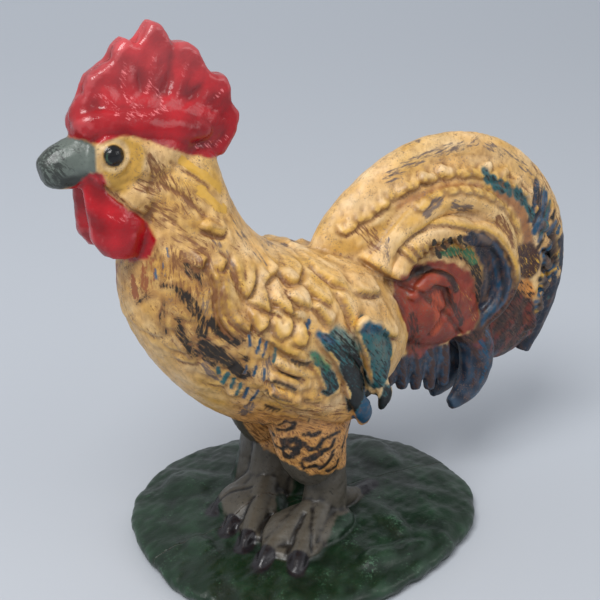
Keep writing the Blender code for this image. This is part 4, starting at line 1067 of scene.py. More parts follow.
# Colour, points of the stroke, half width and coverage of each dry-brushed patch.
DRY_BRUSH = (
    (UMBER, ((-80, 150), (-77.7, 150.2), (-74.8, 148.3), (-72.8, 145.6)), 1.5, 0.80),
    (UMBER, ((-73.5, 146), (-70.7, 142.3), (-69.3, 138.6), (-68.5, 134.8), (-68.4, 131)), 3.2, 0.85),
    (UMBER, ((-79.9, 142.9), (-80.7, 138.4), (-81, 134.2), (-80.2, 129.5)), 2.0, 0.67),
    (UMBER, ((-77.2, 136.4), (-75.4, 136.2)), 1.6, 0.75),
    (UMBER, ((-76.5, 132), (-73.7, 127.5), (-71.9, 123.8), (-70.4, 120.4)), 3.2, 0.75),
    (UMBER, ((-65.3, 135.5), (-63.3, 131.9), (-60, 129.2), (-55.8, 125.7)), 2.8, 0.92),
    (UMBER, ((-67, 125), (-64.2, 122), (-60, 118.4), (-56.1, 114.2), (-52.5, 110)), 4.1, 0.95),
    (UMBER, ((-68.8, 122), (-66.2, 118.6), (-63.8, 115.5)), 2.6, 0.80),
    (GREY_BROWN, ((-66.5, 114.8), (-64.1, 111.6), (-61.4, 108.6)), 3.0, 0.8),
    (UMBER, ((-56, 129.6), (-53, 126.2)), 1.2, 0.92),
    (UMBER, ((-55, 120.6), (-51.8, 117.6)), 1.3, 0.92),
    (GREY_BROWN, ((-64.5, 145.6), (-65.8, 141.3), (-67, 136.4)), 4.6, 0.66),
    (BROWN, ((-70.3, 166), (-69.1, 159.7), (-71.3, 153)), 8.5, 0.64),
    (BROWN, ((-64, 158), (-65, 150), (-66, 144)), 4.0, 0.64),
    (UMBER, ((-71.7, 158.4), (-69.8, 154.5)), 2.0, 0.80),
    (UMBER, ((-66.6, 155.5), (-65.9, 150.8)), 2.0, 0.75),
    (BROWN, ((-83.1, 164.4), (-82.5, 161.1)), 2.2, 0.95),
    (RUST_BROWN, ((-87.3, 149.7), (-87.2, 143.2)), 2.4, 0.95),
    (RUST_BROWN, ((-84.5, 155.3), (-85.1, 148)), 2.2, 0.9),
    (RUST_BROWN, ((-82, 164), (-83.4, 155.4), (-83.7, 147.4)), 4.0, 0.6),
    (STEEL_BLUE, ((-81.3, 155.8), (-81.6, 152.2)), 0.8, 0.9),
    (STEEL_BLUE, ((-77.1, 165), (-77.2, 162)), 0.7, 0.9),
    (STEEL_BLUE, ((-79, 159.6), (-79.1, 154.4)), 0.7, 0.8),
    (UMBER, ((-87, 139.8), (-85.2, 143.4), (-82.8, 146.4)), 1.0, 0.80),
    (BROWN, ((-80, 200), (-76, 196), (-75, 190)), 3.6, 0.78),
    (BROWN, ((-84, 190), (-79, 187)), 4.2, 0.7),
    (BROWN, ((-72, 190), (-67, 184), (-68, 178)), 4.0, 0.66),
    (BROWN, ((-80, 178), (-72, 172), (-66, 168)), 4.5, 0.58),
    (OCHRE, ((-66, 198), (-56, 190), (-50, 184)), 2.2, 1.1),
    (OCHRE, ((-60, 186), (-54, 179), (-50, 176)), 2.4, 1.1),
    (GREY_BROWN, ((-58, 166), (-54, 160), (-53, 152)), 2.6, 0.66),
    (GREY_BROWN, ((-45, 168), (-40, 160), (-38, 152)), 4.5, 0.6),
    (GREY_BROWN, ((-30, 156), (-18, 151), (-6, 148)), 4.0, 0.62),
    (GREY_BROWN, ((60, 161), (53, 157)), 3.0, 0.85),
    (GREY_BROWN, ((68, 158), (78, 154)), 3.0, 0.85),
    (GREY_BROWN, ((33, 146), (30, 138)), 3.0, 0.7),
    (BROWN, ((22, 152), (27, 150), (28, 143)), 4.0, 0.7),
    (BROWN, ((96, 146), (101, 140), (104, 132)), 3.5, 0.85),
    (GREY_BROWN, ((20, 172), (45, 184), (75, 190)), 3.0, 0.66),
    (GREY_BROWN, ((38, 172), (60, 180), (90, 182)), 3.5, 0.68),
    (GREY_BROWN, ((95, 180), (115, 170), (130, 154)), 3.0, 0.66),
    (BROWN, ((126, 166), (140, 148), (146, 132)), 2.6, 0.68),
    (BROWN, ((46, 132), (52, 138), (60, 140), (70, 136)), 3.5, 0.85),
    (UMBER, ((72, 136), (80, 130), (84, 124)), 3.0, 0.66),
    (LEAF_GREEN, ((74, 134), (82, 127), (86, 120)), 2.6, 0.85),
    (STEEL_BLUE, ((84, 145), (76, 141)), 2.0, 0.6),
    (GREY_BROWN, ((-46, 84), (-46, 91)), 3.0, 0.85),
    (GREY_BROWN, ((-41, 103), (-44, 110), (-43, 116)), 3.0, 0.7),
    (BROWN, ((-30, 92), (-16, 86), (-2, 80)), 5.0, 0.62),
    (BROWN, ((-40, 86), (-28, 80), (-12, 76)), 4.0, 0.62),
)
# Short upright dabs from one brush: colour, top, foot and half width.
DABS = (
    (BLUE, (-51.1, 129.5), (-50.5, 124.1), 0.75), (BLUE, (-46.7, 125.9), (-47.9, 120.5), 0.75),
    (BLUE, (-43.7, 124.5), (-45.8, 118.8), 0.75), (TEAL, (-39.8, 120.7), (-40.9, 115.4), 0.8),
    (BLUE, (-23.4, 129.1), (-24.9, 126.6), 1.2), (TEAL, (-61.8, 114), (-61.3, 110.7), 0.9),
    (TEAL, (-58, 110.7), (-59.1, 105.7), 1.2), (TEAL, (-55.3, 108), (-55.7, 102.6), 0.85),
    (TEAL, (-52.3, 104.4), (-53.2, 98.4), 0.85), (BLUE, (-49.3, 101.9), (-49.4, 96), 0.75),
    (BLUE, (-45.2, 100.2), (-46.4, 94), 0.75), (BLUE, (-51.5, 114.4), (-52.1, 110), 0.65),
    (BLUE, (-48, 113.6), (-48.9, 109.2), 0.65), (BLUE, (-44.6, 112.6), (-45, 107.2), 0.65),
)
# Rows of dark teeth under the wing's bars.
TEETH = (
    ((-33.4, 114.5), (-29.4, 112.9), (-25.3, 111.8)),
    ((-38.9, 111.3), (-35.7, 109.3), (-33.2, 108.0), (-29.0, 105.2)),
    ((-42.5, 107.6), (-39.5, 106.2), (-36.9, 104.8), (-31.8, 100.8)),
    ((-43.6, 102.0), (-40.2, 98.9), (-34, 96.0)),
    ((-40.2, 91.4), (-36.5, 88.3), (-33.0, 87.0)),
    ((-26.4, 94.4), (-22.4, 93.1), (-18.4, 92.6)),
    ((-28, 90.6), (-24, 89.4)), ((-22, 80), (-18, 78.5)),
)
# Black crescents on the thigh: points and half width.
CRESCENTS = (
    (((-26.8, 64.8), (-25.1, 66.6), (-22.3, 66.8), (-21, 65)), 2.0),
    (((-26.3, 62.6), (-22.5, 63)), 1.8),
    (((-25.4, 57), (-24, 58.5), (-22.4, 60.4)), 2.0),
    (((-20.1, 64.8), (-18.2, 62.8), (-15.3, 62.2), (-13.1, 63.4), (-11.8, 66.6)), 1.3),
    (((-20.6, 69.9), (-18.8, 71), (-16.6, 69.2), (-13.6, 70.4)), 1.1),
    (((-11.2, 60.9), (-8, 60.8), (-5.8, 64.4)), 1.3),
    (((-19.2, 56.6), (-16.1, 57.7), (-13.0, 59.4)), 1.9),
    (((-14.9, 52.8), (-11.4, 50.6), (-8.5, 52.3), (-6.6, 55), (-5.8, 58.4)), 1.4),
    (((-4.2, 47.6), (-0.6, 46.6), (-1.3, 51.2)), 1.4),
    (((0.4, 58.2), (2.2, 62)), 1.6),
    (((-9.6, 67.4), (-6.2, 67.9), (-2.8, 67.2)), 1.2),
    (((-28.4, 70.8), (-26.4, 71.7), (-24.2, 73.8)), 1.2),
    (((-33, 68.6), (-28.4, 66.2)), 1.4),
    (((-36.8, 75.8), (-34.6, 73.4), (-32.6, 75)), 1.5),
    (((-28, 61.5), (-26.6, 60.4)), 1.5),
    (((-20.2, 54.4), (-18.9, 51.4), (-17, 52.2)), 1.4),
    (((3.6, 63.8), (7, 66)), 1.2),
    (((-29, 74.2), (-26.9, 76.8), (-23.8, 75.6)), 0.9),
    (((-8, 48), (-5.5, 47)), 1.2),
    (((2, 54), (4.4, 52)), 1.2),
)

lay(OCHRE, 0.4 + 0.3 * wander(places, 30.0, 5))
# Cream is partly random tone and partly a painted highlight on the raised spots.
lay(CREAM, 0.16 + 0.2 * wander(places, 14.0, 6) + 0.3 * high)
lay(OCHRE, rim * 0.9)
throat = soft(inside_outline(places, THROAT), 14.0)
lay(RUST_BROWN, 0.5 * throat * (0.6 + 0.5 * wander(places, 9.0, 8)))
bib = soft(inside_outline(places, BIB), 16.0)
lay(OCHRE, bib * 0.35)
lay(BROWN, bib * np.clip(0.16 + 0.4 * wander(places, 5.0, 27), 0.0, 0.5))
# Painted shade: brown under the feathers' edges and in the hollows.
lay(BROWN, np.maximum(crevice_shade * 0.75, low * 0.6))
# The brown dry-brush is thicker in the hollows, partly painted shade.
dry(BROWN, 0.28 + 0.3 * low + 0.14 * wander(places, 12.0, 21) + 0.24 * bib)
belly = soft(inside_outline(places, BELLY), 14.0)
lay(ORANGE, belly * 0.15)
dry(BROWN, belly * 0.52)
thigh = soft(inside_outline(places, THIGH_AREA), 10.0)
lay(ORANGE, thigh * 0.6)
dry(BROWN, thigh * 0.62)
for colour, line, half, strength in DRY_BRUSH:
    drag(colour, line, half, strength * 0.95)
for line, half in CRESCENTS:
    mark = soft(stroke(line, half * 0.95), 0.6)
    bare(mark)
    lay(UMBER, mark)
for line in TEETH:
    path = np.array(line)
    marks = np.concatenate(([0.0], np.cumsum(np.hypot(*np.diff(path, axis=0).T))))
    for number, place in enumerate(np.arange(0.5, marks[-1], 1.15)):
        tooth_x, tooth_z = (np.interp(place, marks, path[:, axis]) for axis in (0, 1))
        fall = 1.6 + 0.7 * math.sin(2.3 * number + tooth_x)
        tooth = lifted(((tooth_x, tooth_z), (tooth_x - 0.5, tooth_z - fall)))
        mark = soft(stroke_field(folded, tooth, [0.8, 0.45]), 0.5)
        bare(mark)
        lay(UMBER, 0.9 * mark)
for colour, top, foot, half in DABS:
    mark = np.clip(soft(stroke_field(folded, lifted((top, foot)), [half, half]), 0.3) * 1.4, 0.0, 1.0)
    bare(mark)
    lay(colour, mark)


# Wing colours
# The broad primaries are brushed teal and blue, with green and pale teal along their front edges, and
# then scribbled over in black, more thickly towards the tips.
GREEN_PRIMARY = [(-23.9, 115.6), (-20.3, 115.2), (-18.6, 112.1), (-14.9, 107.9), (-12.1, 103.6), (-10.1, 99),
                 (-9.5, 95), (-12.6, 93.7), (-15.1, 93), (-18.5, 95.5), (-17.7, 98.9), (-19.2, 103),
                 (-20, 106.8), (-23, 110.4)]
TEAL_PRIMARY = [(-20.6, 124.4), (-18, 124.2), (-15.1, 122.5), (-10.4, 122.8), (-6.8, 121.2), (-2.8, 117.5),
                (1, 113.9), (3, 105.2), (5.5, 99.2), (8.2, 92), (9, 85), (1.5, 80), (-1.5, 79), (-4.3, 87),
                (-4.2, 92.5), (-6.5, 98.5), (-9.5, 103.3), (-11.9, 108.8), (-15.8, 114.4), (-18.5, 118.1)]
BLUE_PRIMARY = [(0, 120), (1.8, 123.4), (4.8, 124.2), (9, 122), (15.4, 117.8), (22.2, 111.3), (24.8, 106.6),
                (26.2, 102.2), (24.9, 98.2), (21, 95), (16, 93), (11, 87.9), (8.9, 90.1), (8.7, 94.6),
                (7.5, 99.1), (5.6, 104.2), (3.9, 109.8), (1.9, 114.3)]
BLUE_TIP = [(3.7, 88.9), (8, 88), (12, 83), (12, 74), (6, 72), (1, 76), (0.9, 83.5)]
DARK_TIP = [(14, 92), (19, 90), (20, 84), (20, 70), (12, 70), (13, 84)]
for colour, outline, dark_from, dark_to, dark in (
        (TEAL, GREEN_PRIMARY, 112.0, 96.0, 0.95), (TEAL, TEAL_PRIMARY, 121.0, 92.0, 1.15),
        (TEAL, BLUE_PRIMARY, 116.0, 92.0, 0.85), (TEAL, DARK_TIP, 92.0, 80.0, 1.2),
        (BLUE, BLUE_TIP, 86.0, 70.0, 0.55)):
    patch = soft(inside_outline(folded, outline) + waver * 0.8, 0.9) * (folded[:, 1] > 24.0)
    bare(patch)
    lay(colour, patch)
    fall = np.clip((dark_from - z) / (dark_from - dark_to), 0.0, 1.0)
    dry(BLACK, patch * dark * (0.56 + 0.28 * fall))
lay(LEAF_GREEN, soft(stroke(((-23, 114), (-19, 111), (-16, 107)), 2.2), 2.0) * 0.8)
lay(PALE_TEAL, soft(stroke(((-9, 121), (-3, 116), (1, 110)), 3.0), 3.0) * 0.75)
lay(BLUE, soft(stroke(((-19.5, 122.5), (-14, 119)), 1.8), 1.6))
lay(BLUE, soft(stroke(((2.5, 121.5), (9, 120), (16, 115)), 2.6), 2.4) * 0.8)
lay(PALE_TEAL, soft(stroke(((9, 112), (13, 104)), 3.0), 4.0) * 0.4)


# Tail colours
# A rust hollow, a navy sickle round it, brown and ochre patches, teal dabs and a dense fringe of navy,
# blue and black streaks on the plumes' ends; the hanging coverts are navy with pale edges.
RUST_AREA = [(36, 118.6), (37.8, 124.5), (37.3, 130.6), (50.1, 132), (61.1, 131.6), (72.8, 128),
             (83.7, 120.6), (89.2, 112.2), (91.7, 100.4), (88, 93), (80.2, 90), (75, 88), (65.9, 85),
             (55, 80.7), (49.7, 84), (45, 96), (39.5, 108.2)]
NAVY_OUTER = ((73, 142.7), (78.4, 144), (86, 142), (93, 137), (99.6, 129.5), (104, 122), (106.5, 113.7),
              (104.8, 106), (99.3, 100), (94, 95.5), (88, 91))
NAVY_INNER = ((73, 140), (79, 137), (84, 132.5), (88, 126), (90.5, 119), (91, 113), (91.5, 107), (91, 103),
              (90, 98), (88, 94), (86, 90))
SPOT_BROWN = [(107.4, 124), (113, 129), (121.8, 128), (129, 121), (130, 113), (126.1, 107), (117, 109),
              (111, 116)]
OCHRE_PATCH = [(109, 113), (118, 109), (126, 106), (129, 99), (126, 96), (117, 101), (109, 106)]
LOW_BROWN = [(74, 88), (84, 92), (92, 96), (100, 102), (106, 109), (112, 107), (120, 101), (128, 95),
             (131, 88), (136, 76), (134, 66), (112, 60), (98, 72), (88, 81), (74, 83)]
FRINGE_AREA = [(36, 84), (46, 85.5), (55, 85), (65, 86), (76, 84), (88, 83), (104, 82), (112, 74),
               (112, 30), (30, 30), (30, 70)]
NAVY_EDGE = [(150, 126), (156, 138), (163, 138), (163, 60), (124, 56), (118, 66), (128, 74), (135, 84),
             (142, 96), (148, 110)]
RUST_SWEEP = ((99.5, 157.8), (109.2, 152.2), (115.4, 143.4), (119.1, 132.1), (121.8, 120.4))
RUST_LINE = ((41, 160.3), (52, 163.7), (63, 165.6), (75, 165.1), (87, 163))
TEAL_DABS = ((89.7, 169.3), (94.2, 165.5), (98.5, 162.6), (103.5, 160.8), (108.8, 158), (112.5, 155),
             (116.5, 150.5), (119, 146))

turn = np.degrees(np.arctan2(z - TAIL_CENTRE[1], x - TAIL_CENTRE[0]))
reach = np.hypot(x - TAIL_CENTRE[0], z - TAIL_CENTRE[1])
draw = np.random.default_rng(41)
band = soft(71.0 - reach, 4.0) * soft(reach - 56.0, 3.0) * soft(34.0 - turn, 8.0) * soft(turn + 32.0, 4.0)
bare(band)
lay(NAVY, band * 0.85)
lay(RUST_BROWN, soft(stroke(RUST_SWEEP, 3.2), 2.4) * 0.75)
lay(RUST_BROWN, soft(stroke(RUST_LINE, 1.5), 2.0) * 0.6)
for number in range(56):
    degrees = 44.0 - 1.4 * number
    colour = (BLUE, BLACK, TEAL, PEACH, BLACK, STEEL_BLUE, NAVY, OCHRE, BLACK, BLUE)[draw.integers(0, 10)]
    outer = draw.uniform(68.0, 74.0)
    inner = draw.uniform(54.0, 60.0)
    line = (on_arc(TAIL_CENTRE, outer, degrees), on_arc(TAIL_CENTRE, (outer + inner) / 2, degrees - 4.0),
            on_arc(TAIL_CENTRE, inner, degrees - 7.0))
    lay(colour, soft(stroke(line, draw.uniform(0.9, 1.7)), 0.9))
for number in range(9):
    degrees = 22.0 - 5.5 * number
    line = (on_arc(TAIL_CENTRE, 80.0, degrees), on_arc(TAIL_CENTRE, 72.0, degrees - 5.0))
    dry((BLUE, NAVY, TEAL)[number % 3], soft(stroke(line, 2.2), 2.0) * 0.9)
for spot in TEAL_DABS:
    lay(TEAL, soft(stroke((spot, (spot[0] + 2.4, spot[1] - 4.5)), 2.1), 0.9))
    dry(BLACK, soft(stroke((spot, (spot[0] + 2.6, spot[1] - 4.5)), 2.0), 1.4) * 0.62)
for number in range(3, 8):
    start = 40.5 + 5.0 * number
    dry(UMBER, soft(stroke(((start, 143), (start + 3.0, 139), (start + 7.5, 133.5)), 1.6), 1.4) * 1.1)

for colour, outline, ragged in (
        (DARK_RUST, SPOT_BROWN, 1.0), (ORANGE, OCHRE_PATCH, 1.0), (DARK_RUST, LOW_BROWN, 1.0),
        (NAVY, FRINGE_AREA, 1.0), (NAVY, NAVY_EDGE, 7.0)):
    patch = soft(inside_outline(places, outline) + waver * ragged, 1.6)
    bare(patch)
    lay(colour, patch)
dry(UMBER, soft(inside_outline(places, OCHRE_PATCH), 2.0) * 0.62)
low_brown = soft(inside_outline(places, LOW_BROWN) + waver, 2.0)
lay(RUST, low_brown * np.clip(0.15 + 0.5 * wander(places, 9.0, 31), 0.0, 0.7))
dry(UMBER, low_brown * 0.6)
dry(OCHRE, soft(inside_outline(places, SPOT_BROWN), 3.0) * 0.5)
rust = soft(inside_outline(places, RUST_AREA) + waver, 1.4)
bare(rust)
lay(RUST, rust)
# Brighter rust on the raised spots is partly painted highlight, darker rust in the hollows partly painted
# shade.
lay(BRIGHT_RUST, rust * (0.35 * high + 0.3 * wander(places, 10.0, 14)))
lay(DARK_RUST, rust * np.clip(0.6 * low + 0.25 * wander(places, 16.0, 15), 0.0, 0.7))
drag(DARK_RUST, ((64, 119), (66, 112), (70, 106), (76, 98)), 2.6, 0.8)
drag(DARK_RUST, ((46, 108), (48, 98), (53, 88)), 4.0, 0.7)
drag(GREY_BROWN, ((42, 118), (46, 108), (50, 98)), 3.0, 0.6)
drag(BRIGHT_RUST, ((58, 116), (60, 106), (60, 96)), 3.6, 0.75)
drag(ORANGE, ((72, 118), (80, 108), (84, 98)), 4.0, 0.5)
lay(UMBER, soft(stroke(((43, 126.5), (52, 129), (60, 128), (66, 123), (68.5, 118)), 2.3), 1.2) * 0.9)
verge = soft(stroke(((70, 135), (78, 133), (84, 127), (88, 119), (90, 110), (90, 102), (88, 94)), 3.4), 1.6)
verge = verge * (1.0 - soft(inside_outline(places, RUST_AREA) - 1.5 + waver, 2.0))
bare(verge)
lay(OCHRE, verge * 0.7)
drag(LEAF_GREEN, ((66, 135), (76, 134), (84, 127)), 3.6, 0.8)
drag(UMBER, ((70, 134), (80, 130), (87, 119), (90, 106)), 3.4, 0.78)
lay(NAVY, verge * soft(118.0 - z, 8.0) * 0.8)
sickle = soft(inside_outline(places, list(NAVY_OUTER) + list(reversed(NAVY_INNER))) + waver, 1.2)
bare(sickle)
lay(NAVY, sickle)
beyond = soft(stroke(NAVY_OUTER[5:], 6.5), 2.0) * (1.0 - sickle) * (1.0 - rust)
lay(DARK_RUST, beyond * soft(116.0 - z, 8.0) * 0.85)
outer, inner = np.array(NAVY_OUTER), np.array(NAVY_INNER)
for share, colour, first, last in ((0.12, STEEL_BLUE, 3, 11), (0.3, BLACK, 1, 10), (0.42, BLUE, 4, 9),
                                   (0.55, DARK_RUST, 2, 6), (0.62, BLUE, 7, 11), (0.72, BLACK, 2, 9),
                                   (0.85, GREY_BROWN, 4, 8)):
    line = [tuple(spot) for spot in (outer + (inner - outer) * share)[first:last]]
    lay(colour, sickle * soft(stroke(line, 0.9), 1.0) * 0.6)
lay(GREY_BROWN, soft(stroke(((84, 140), (90, 136)), 1.6), 1.6) * 0.8)

fringe = soft(inside_outline(places, FRINGE_AREA), 2.0)
# Steel blue on the fringe is partly random and partly a painted highlight on its raised spots.
lay(STEEL_BLUE, fringe * np.clip(0.12 + 0.3 * wander(places, 7.0, 33) + 0.4 * high, 0.0, 0.6))
for foot_x, foot_z in COVERTS:
    pale_edge = ((foot_x + 1.6, 84.0), (foot_x + 3.0, 74.0), (foot_x + 2.2, foot_z + 1.5))
    dark_edge = ((foot_x - 5.0, 84.0), (foot_x - 2.0, 74.0), (foot_x - 1.0, foot_z + 3.0))
    lay(STEEL_BLUE, soft(stroke(pale_edge, 0.7), 1.0) * 0.8)
    dry(DARK_RUST, soft(stroke(dark_edge, 2.0), 2.0) * 0.8)
for line, colour in ((((94, 88), (103, 74), (100, 58), (90, 50)), STEEL_BLUE),
                     (((90, 84), (97, 72), (94, 60)), BLUE), (((84, 84), (91, 74), (90, 60)), DARK_RUST)):
    dry(colour, soft(stroke(line, 2.0), 2.0) * 0.72)


# Head colours
# Comb and wattles are a thick glossy red, darker at random and in the hollows, the latter painted shade, with
# painted pink highlights on the raised spots, along the top and in gleaming streaks; the beak is grey with a
# dark underside, and a black eye with a painted reflection sits in an ochre ring.
COMB_AREA = [(-125, 211), (-110, 210.5), (-104, 210), (-101, 208.5), (-98, 209), (-91, 211), (-86, 210.5),
             (-80, 208), (-72, 204), (-62, 199.5), (-48, 195), (-36, 192), (-20, 200), (-20, 262),
             (-125, 262)]
WATTLE_AREA = [(-103, 197.5), (-99, 197.5), (-97, 190), (-93, 184.5), (-86, 179), (-81.5, 174.5),
               (-80, 168), (-82, 161), (-88, 156), (-96, 153), (-112, 158), (-116, 180), (-108, 194)]
BEAK_AREA = [(-130, 211), (-110, 210.5), (-104, 210), (-100.5, 208), (-101, 203), (-101.5, 198), (-103, 197),
             (-108, 192), (-130, 186)]
FACE_AREA = [(-101, 208), (-92, 211), (-83, 208), (-82, 204), (-84, 194), (-91, 188), (-95, 190),
             (-99, 197)]
GLEAMS = (
    (((-97, 226), (-93, 224), (-90, 219)), 2.4), (((-84, 236), (-86, 228), (-84, 222), (-80, 219)), 2.4),
    (((-72, 240), (-74, 232), (-77, 224)), 1.6), (((-88, 219), (-78, 217), (-70, 219), (-73, 227)), 2.4),
    (((-58, 234), (-61, 228), (-64, 222)), 1.2), (((-42, 222), (-48, 218), (-54, 216)), 1.4),
    (((-98, 181), (-94, 178), (-91, 179)), 1.8), (((-40, 203), (-46, 200), (-56, 201)), 2.0),
)

wattle = inside_outline(places, WATTLE_AREA) + waver * 0.4
beak = inside_outline(places, BEAK_AREA) + waver * 0.3
comb = inside_outline(places, COMB_AREA) + waver * 0.4
face = soft(inside_outline(places, FACE_AREA), 2.0)
lay(FACE_OCHRE, face)
bare(face * 0.7)
eye_gap = np.hypot(x - EYE[0][0], z - EYE[0][2])
lay(CREAM, face * soft(1.0 - np.abs(eye_gap - EYE_RADIUS - 1.8), 1.0) * 0.5)
for area, colour, shine in ((np.minimum(wattle, 24.0 - folded[:, 1]), RED, 0.95), (beak, BEAK_GREY, 0.6),
                            (comb, RED, 0.95)):
    patch = soft(area, 0.9)
    bare(patch)
    lay(colour, patch, shine)
red = np.clip(soft(comb, 0.9) + soft(wattle, 0.9), 0.0, 1.0)
# Deep red is partly random and partly painted shade in the hollows; pink on the raised spots and top is
# painted highlight.
lay(DEEP_RED, red * np.clip(0.3 + 0.4 * wander(places, 16.0, 9) + 0.5 * low, 0.0, 0.75))
lay(PINK, red * np.clip(high - 0.6, 0.0, 0.2))
lay(PINK, red * soft(z - 226.0, 26.0) * 0.22)
# The gleams are painted highlights of pink on the red.
for line, half in GLEAMS:
    dry(PINK, red * soft(stroke(line, half), half) * 0.56)
nib = soft(beak, 0.9)
lay(BEAK_DARK, nib * soft(196.8 - z + 0.4 * waver, 2.0) * (x > -114.0))
dry(BEAK_DARK, nib * (0.45 + 0.3 * soft(-112.0 - x, 6.0)))
eye = soft(EYE_RADIUS + 0.4 - eye_gap, 0.4)
bare(eye)
lay(BLACK, eye, 1.0)
# A pale green crescent in the black eye is a painted reflection.
eye_reflection = stroke_field(folded, lifted(((-97.4, 205.2), (-97.6, 203.2), (-96.2, 201.6))), [0.35, 0.5, 0.3])
lay(PALE_GREEN, soft(eye_reflection, 0.5) * eye)


# Leg and mound colours
# Below the ragged hem all is dark green, with grey legs and webs and black claws. Paler green where the
# mound's rough skin stands proud is partly painted highlight, black in its hollows partly painted shade,
# and umber in the legs' hollows painted shade.
left_hem = np.interp(x, (-34.0, -28.0, -24.0, -18.5, -15.0, -8.0, 3.7, 9.0, 13.0),
                     (54.0, 54.0, 53.0, 49.6, 47.0, 45.0, 41.5, 42.0, 56.0))
right_hem = np.interp(x, (-34.0, -28.0, -23.5, -17.7, -11.0, 0.0), (70.0, 58.0, 50.0, 42.6, 37.0, 40.0))
hem = np.where(places[:, 1] > 0.0, right_hem, left_hem) + waver * 0.8
legs = np.full(count, -99.0)
for side, shank in ((LEFT, LEFT_SHANK), (RIGHT, RIGHT_SHANK)):
    line = np.array([spot[:3] for spot in shank])
    line[:, 1] *= side
    legs = np.maximum(legs, stroke_field(places, line, [11.0, 10.5, 12.5]))
claws = np.full(count, -99.0)
swapped = places[:, (0, 2, 1)]
for ankle, toes, web, _ in FEET:
    legs = np.maximum(legs, inside_outline(swapped, [(spot[0], spot[1]) for spot in web]) + 1.5)
    for toe, claw in toes:
        legs = np.maximum(legs, stroke_field(places, np.array((ankle, toe)), [8.0, 5.2]))
        start = np.array(toe) * 0.7 + np.array(claw) * 0.3
        claws = np.maximum(claws, stroke_field(places, np.array((start, claw)), [5.0, 4.4]))
surface = 13.1 + 0.5 * waver
legs = np.minimum(legs + waver * 0.5, z - surface)
claws = np.minimum(claws, z - surface + 2.2)
below = np.maximum(soft(hem - z, 0.8) * (x < 30.0), soft(22.0 - z, 1.0))
bare(below)
lay(GREEN, below, 0.5)
ground = below * (1.0 - soft(legs, 1.0))
# Paler green on raised ground is partly painted highlight, black in its hollows partly painted shade.
lay(PALE_GREEN, ground * np.clip(0.02 + 0.16 * wander(places, 26.0, 12) + 0.22 * high, 0.0, 0.35))
lay(BLACK, ground * np.clip(0.1 + 0.3 * wander(places, 18.0, 17) + 0.3 * low, 0.0, 0.4))
dry(PALE_GREEN, ground * (0.3 + 0.14 * wander(places, 20.0, 18) + 0.16 * high))
leg = soft(legs, 1.0) * below
lay(LEG_GREY, leg, 0.4)
dry(UMBER, leg * 0.42)
# Umber in the legs' hollows is painted shade.
lay(UMBER, leg * np.clip(low * 1.2, 0.0, 0.85))
for line in WEB_CREASES:
    lay(UMBER, leg * soft(stroke_field(places, on_top(line), [0.9] * len(line)) + 0.4 * waver, 1.0) * 0.8)
nails = soft(claws, 0.7) * below
bare(nails)
lay(CLAW, nails, 0.6)
body = (1.0 - below) * (1.0 - red) * (1.0 - nib) * (1.0 - eye)
# The finish keeps the painted shade of the crevices, off the red parts.
crevice_shade_off_red = np.clip(crevice_shade, 0.0, 1.0) * (1.0 - red)
whole_coat = np.ones((count, 1))
for layer, values in (("coat", (coat, whole_coat)), ("brush", (brush, cover[:, None])),
                      ("finish", (np.stack((gloss, crevice_shade_off_red, BODY_SPECKS * body), axis=1), whole_coat))):
    store = pattern.attributes.new(layer, "FLOAT_COLOR", "POINT")
    store.data.foreach_set("color", np.hstack(values).astype(np.float32).ravel())
store = pattern.attributes.new("bristles", "FLOAT_VECTOR", "POINT")
store.data.foreach_set("vector", bristles.astype(np.float32).ravel())


# Painted iron and bare iron
# Enamel brushed over the castings: its coat carries the painted highlights and painted shade laid above; it
# mottles, is speckled where it was dry-brushed, and shows the sand-cast skin as fine bumps. Inside, the iron
# is bare, dark and rusty.
def new_material(name):
    material = bpy.data.materials.new(name)
    material.use_nodes = True
    return material, material.node_tree, material.node_tree.nodes["Principled BSDF"]


def noise(tree, size_mm, detail=3.0, stretch=None):
    place = tree.nodes.new("ShaderNodeTexCoord").outputs["Object"]
    if stretch is not None:
        mapping = tree.nodes.new("ShaderNodeMapping")
        mapping.inputs["Scale"].default_value = stretch
        tree.links.new(place, mapping.inputs["Vector"])
        place = mapping.outputs["Vector"]
    node = tree.nodes.new("ShaderNodeTexNoise")
    node.inputs["Scale"].default_value = 1.0 / (size_mm * MM)
    node.inputs["Detail"].default_value = detail
    tree.links.new(place, node.inputs["Vector"])
    return node.outputs["Fac"]


def spread(tree, value, low, high, out_low=0.0, out_high=1.0):
    node = tree.nodes.new("ShaderNodeMapRange")
    node.inputs["From Min"].default_value = low
    node.inputs["From Max"].default_value = high
    node.inputs["To Min"].default_value = out_low
    node.inputs["To Max"].default_value = out_high
    tree.links.new(value, node.inputs["Value"])
    return node.outputs["Result"]


def feed(tree, socket, value):
    """Give a socket a number, a colour or another node's result."""
    if isinstance(value, (int, float)):
        socket.default_value = value
    elif isinstance(value, tuple):
        socket.default_value = (*value, 1.0)
    else:
        tree.links.new(value, socket)


def reckon(tree, operation, first, second):
    node = tree.nodes.new("ShaderNodeMath")
    node.operation = operation
    feed(tree, node.inputs[0], first)
    feed(tree, node.inputs[1], second)
    return node.outputs["Value"]


def blended(tree, share, first, second, mode="MIX"):
    node = tree.nodes.new("ShaderNodeMix")
    node.data_type = "RGBA"
    node.blend_type = mode
    for index, value in ((0, share), (6, first), (7, second)):
        feed(tree, node.inputs[index], value)
    return node.outputs[2]


def attribute(tree, name):
    node = tree.nodes.new("ShaderNodeAttribute")
    node.attribute_name = name
    return node


def roughen(tree, shader, height, strength, depth_mm):
    """Raise fine bumps on a surface."""
    bump = tree.nodes.new("ShaderNodeBump")
    bump.inputs["Strength"].default_value = strength
    bump.inputs["Distance"].default_value = depth_mm * MM
    tree.links.new(height, bump.inputs["Height"])
    tree.links.new(bump.outputs["Normal"], shader.inputs["Normal"])


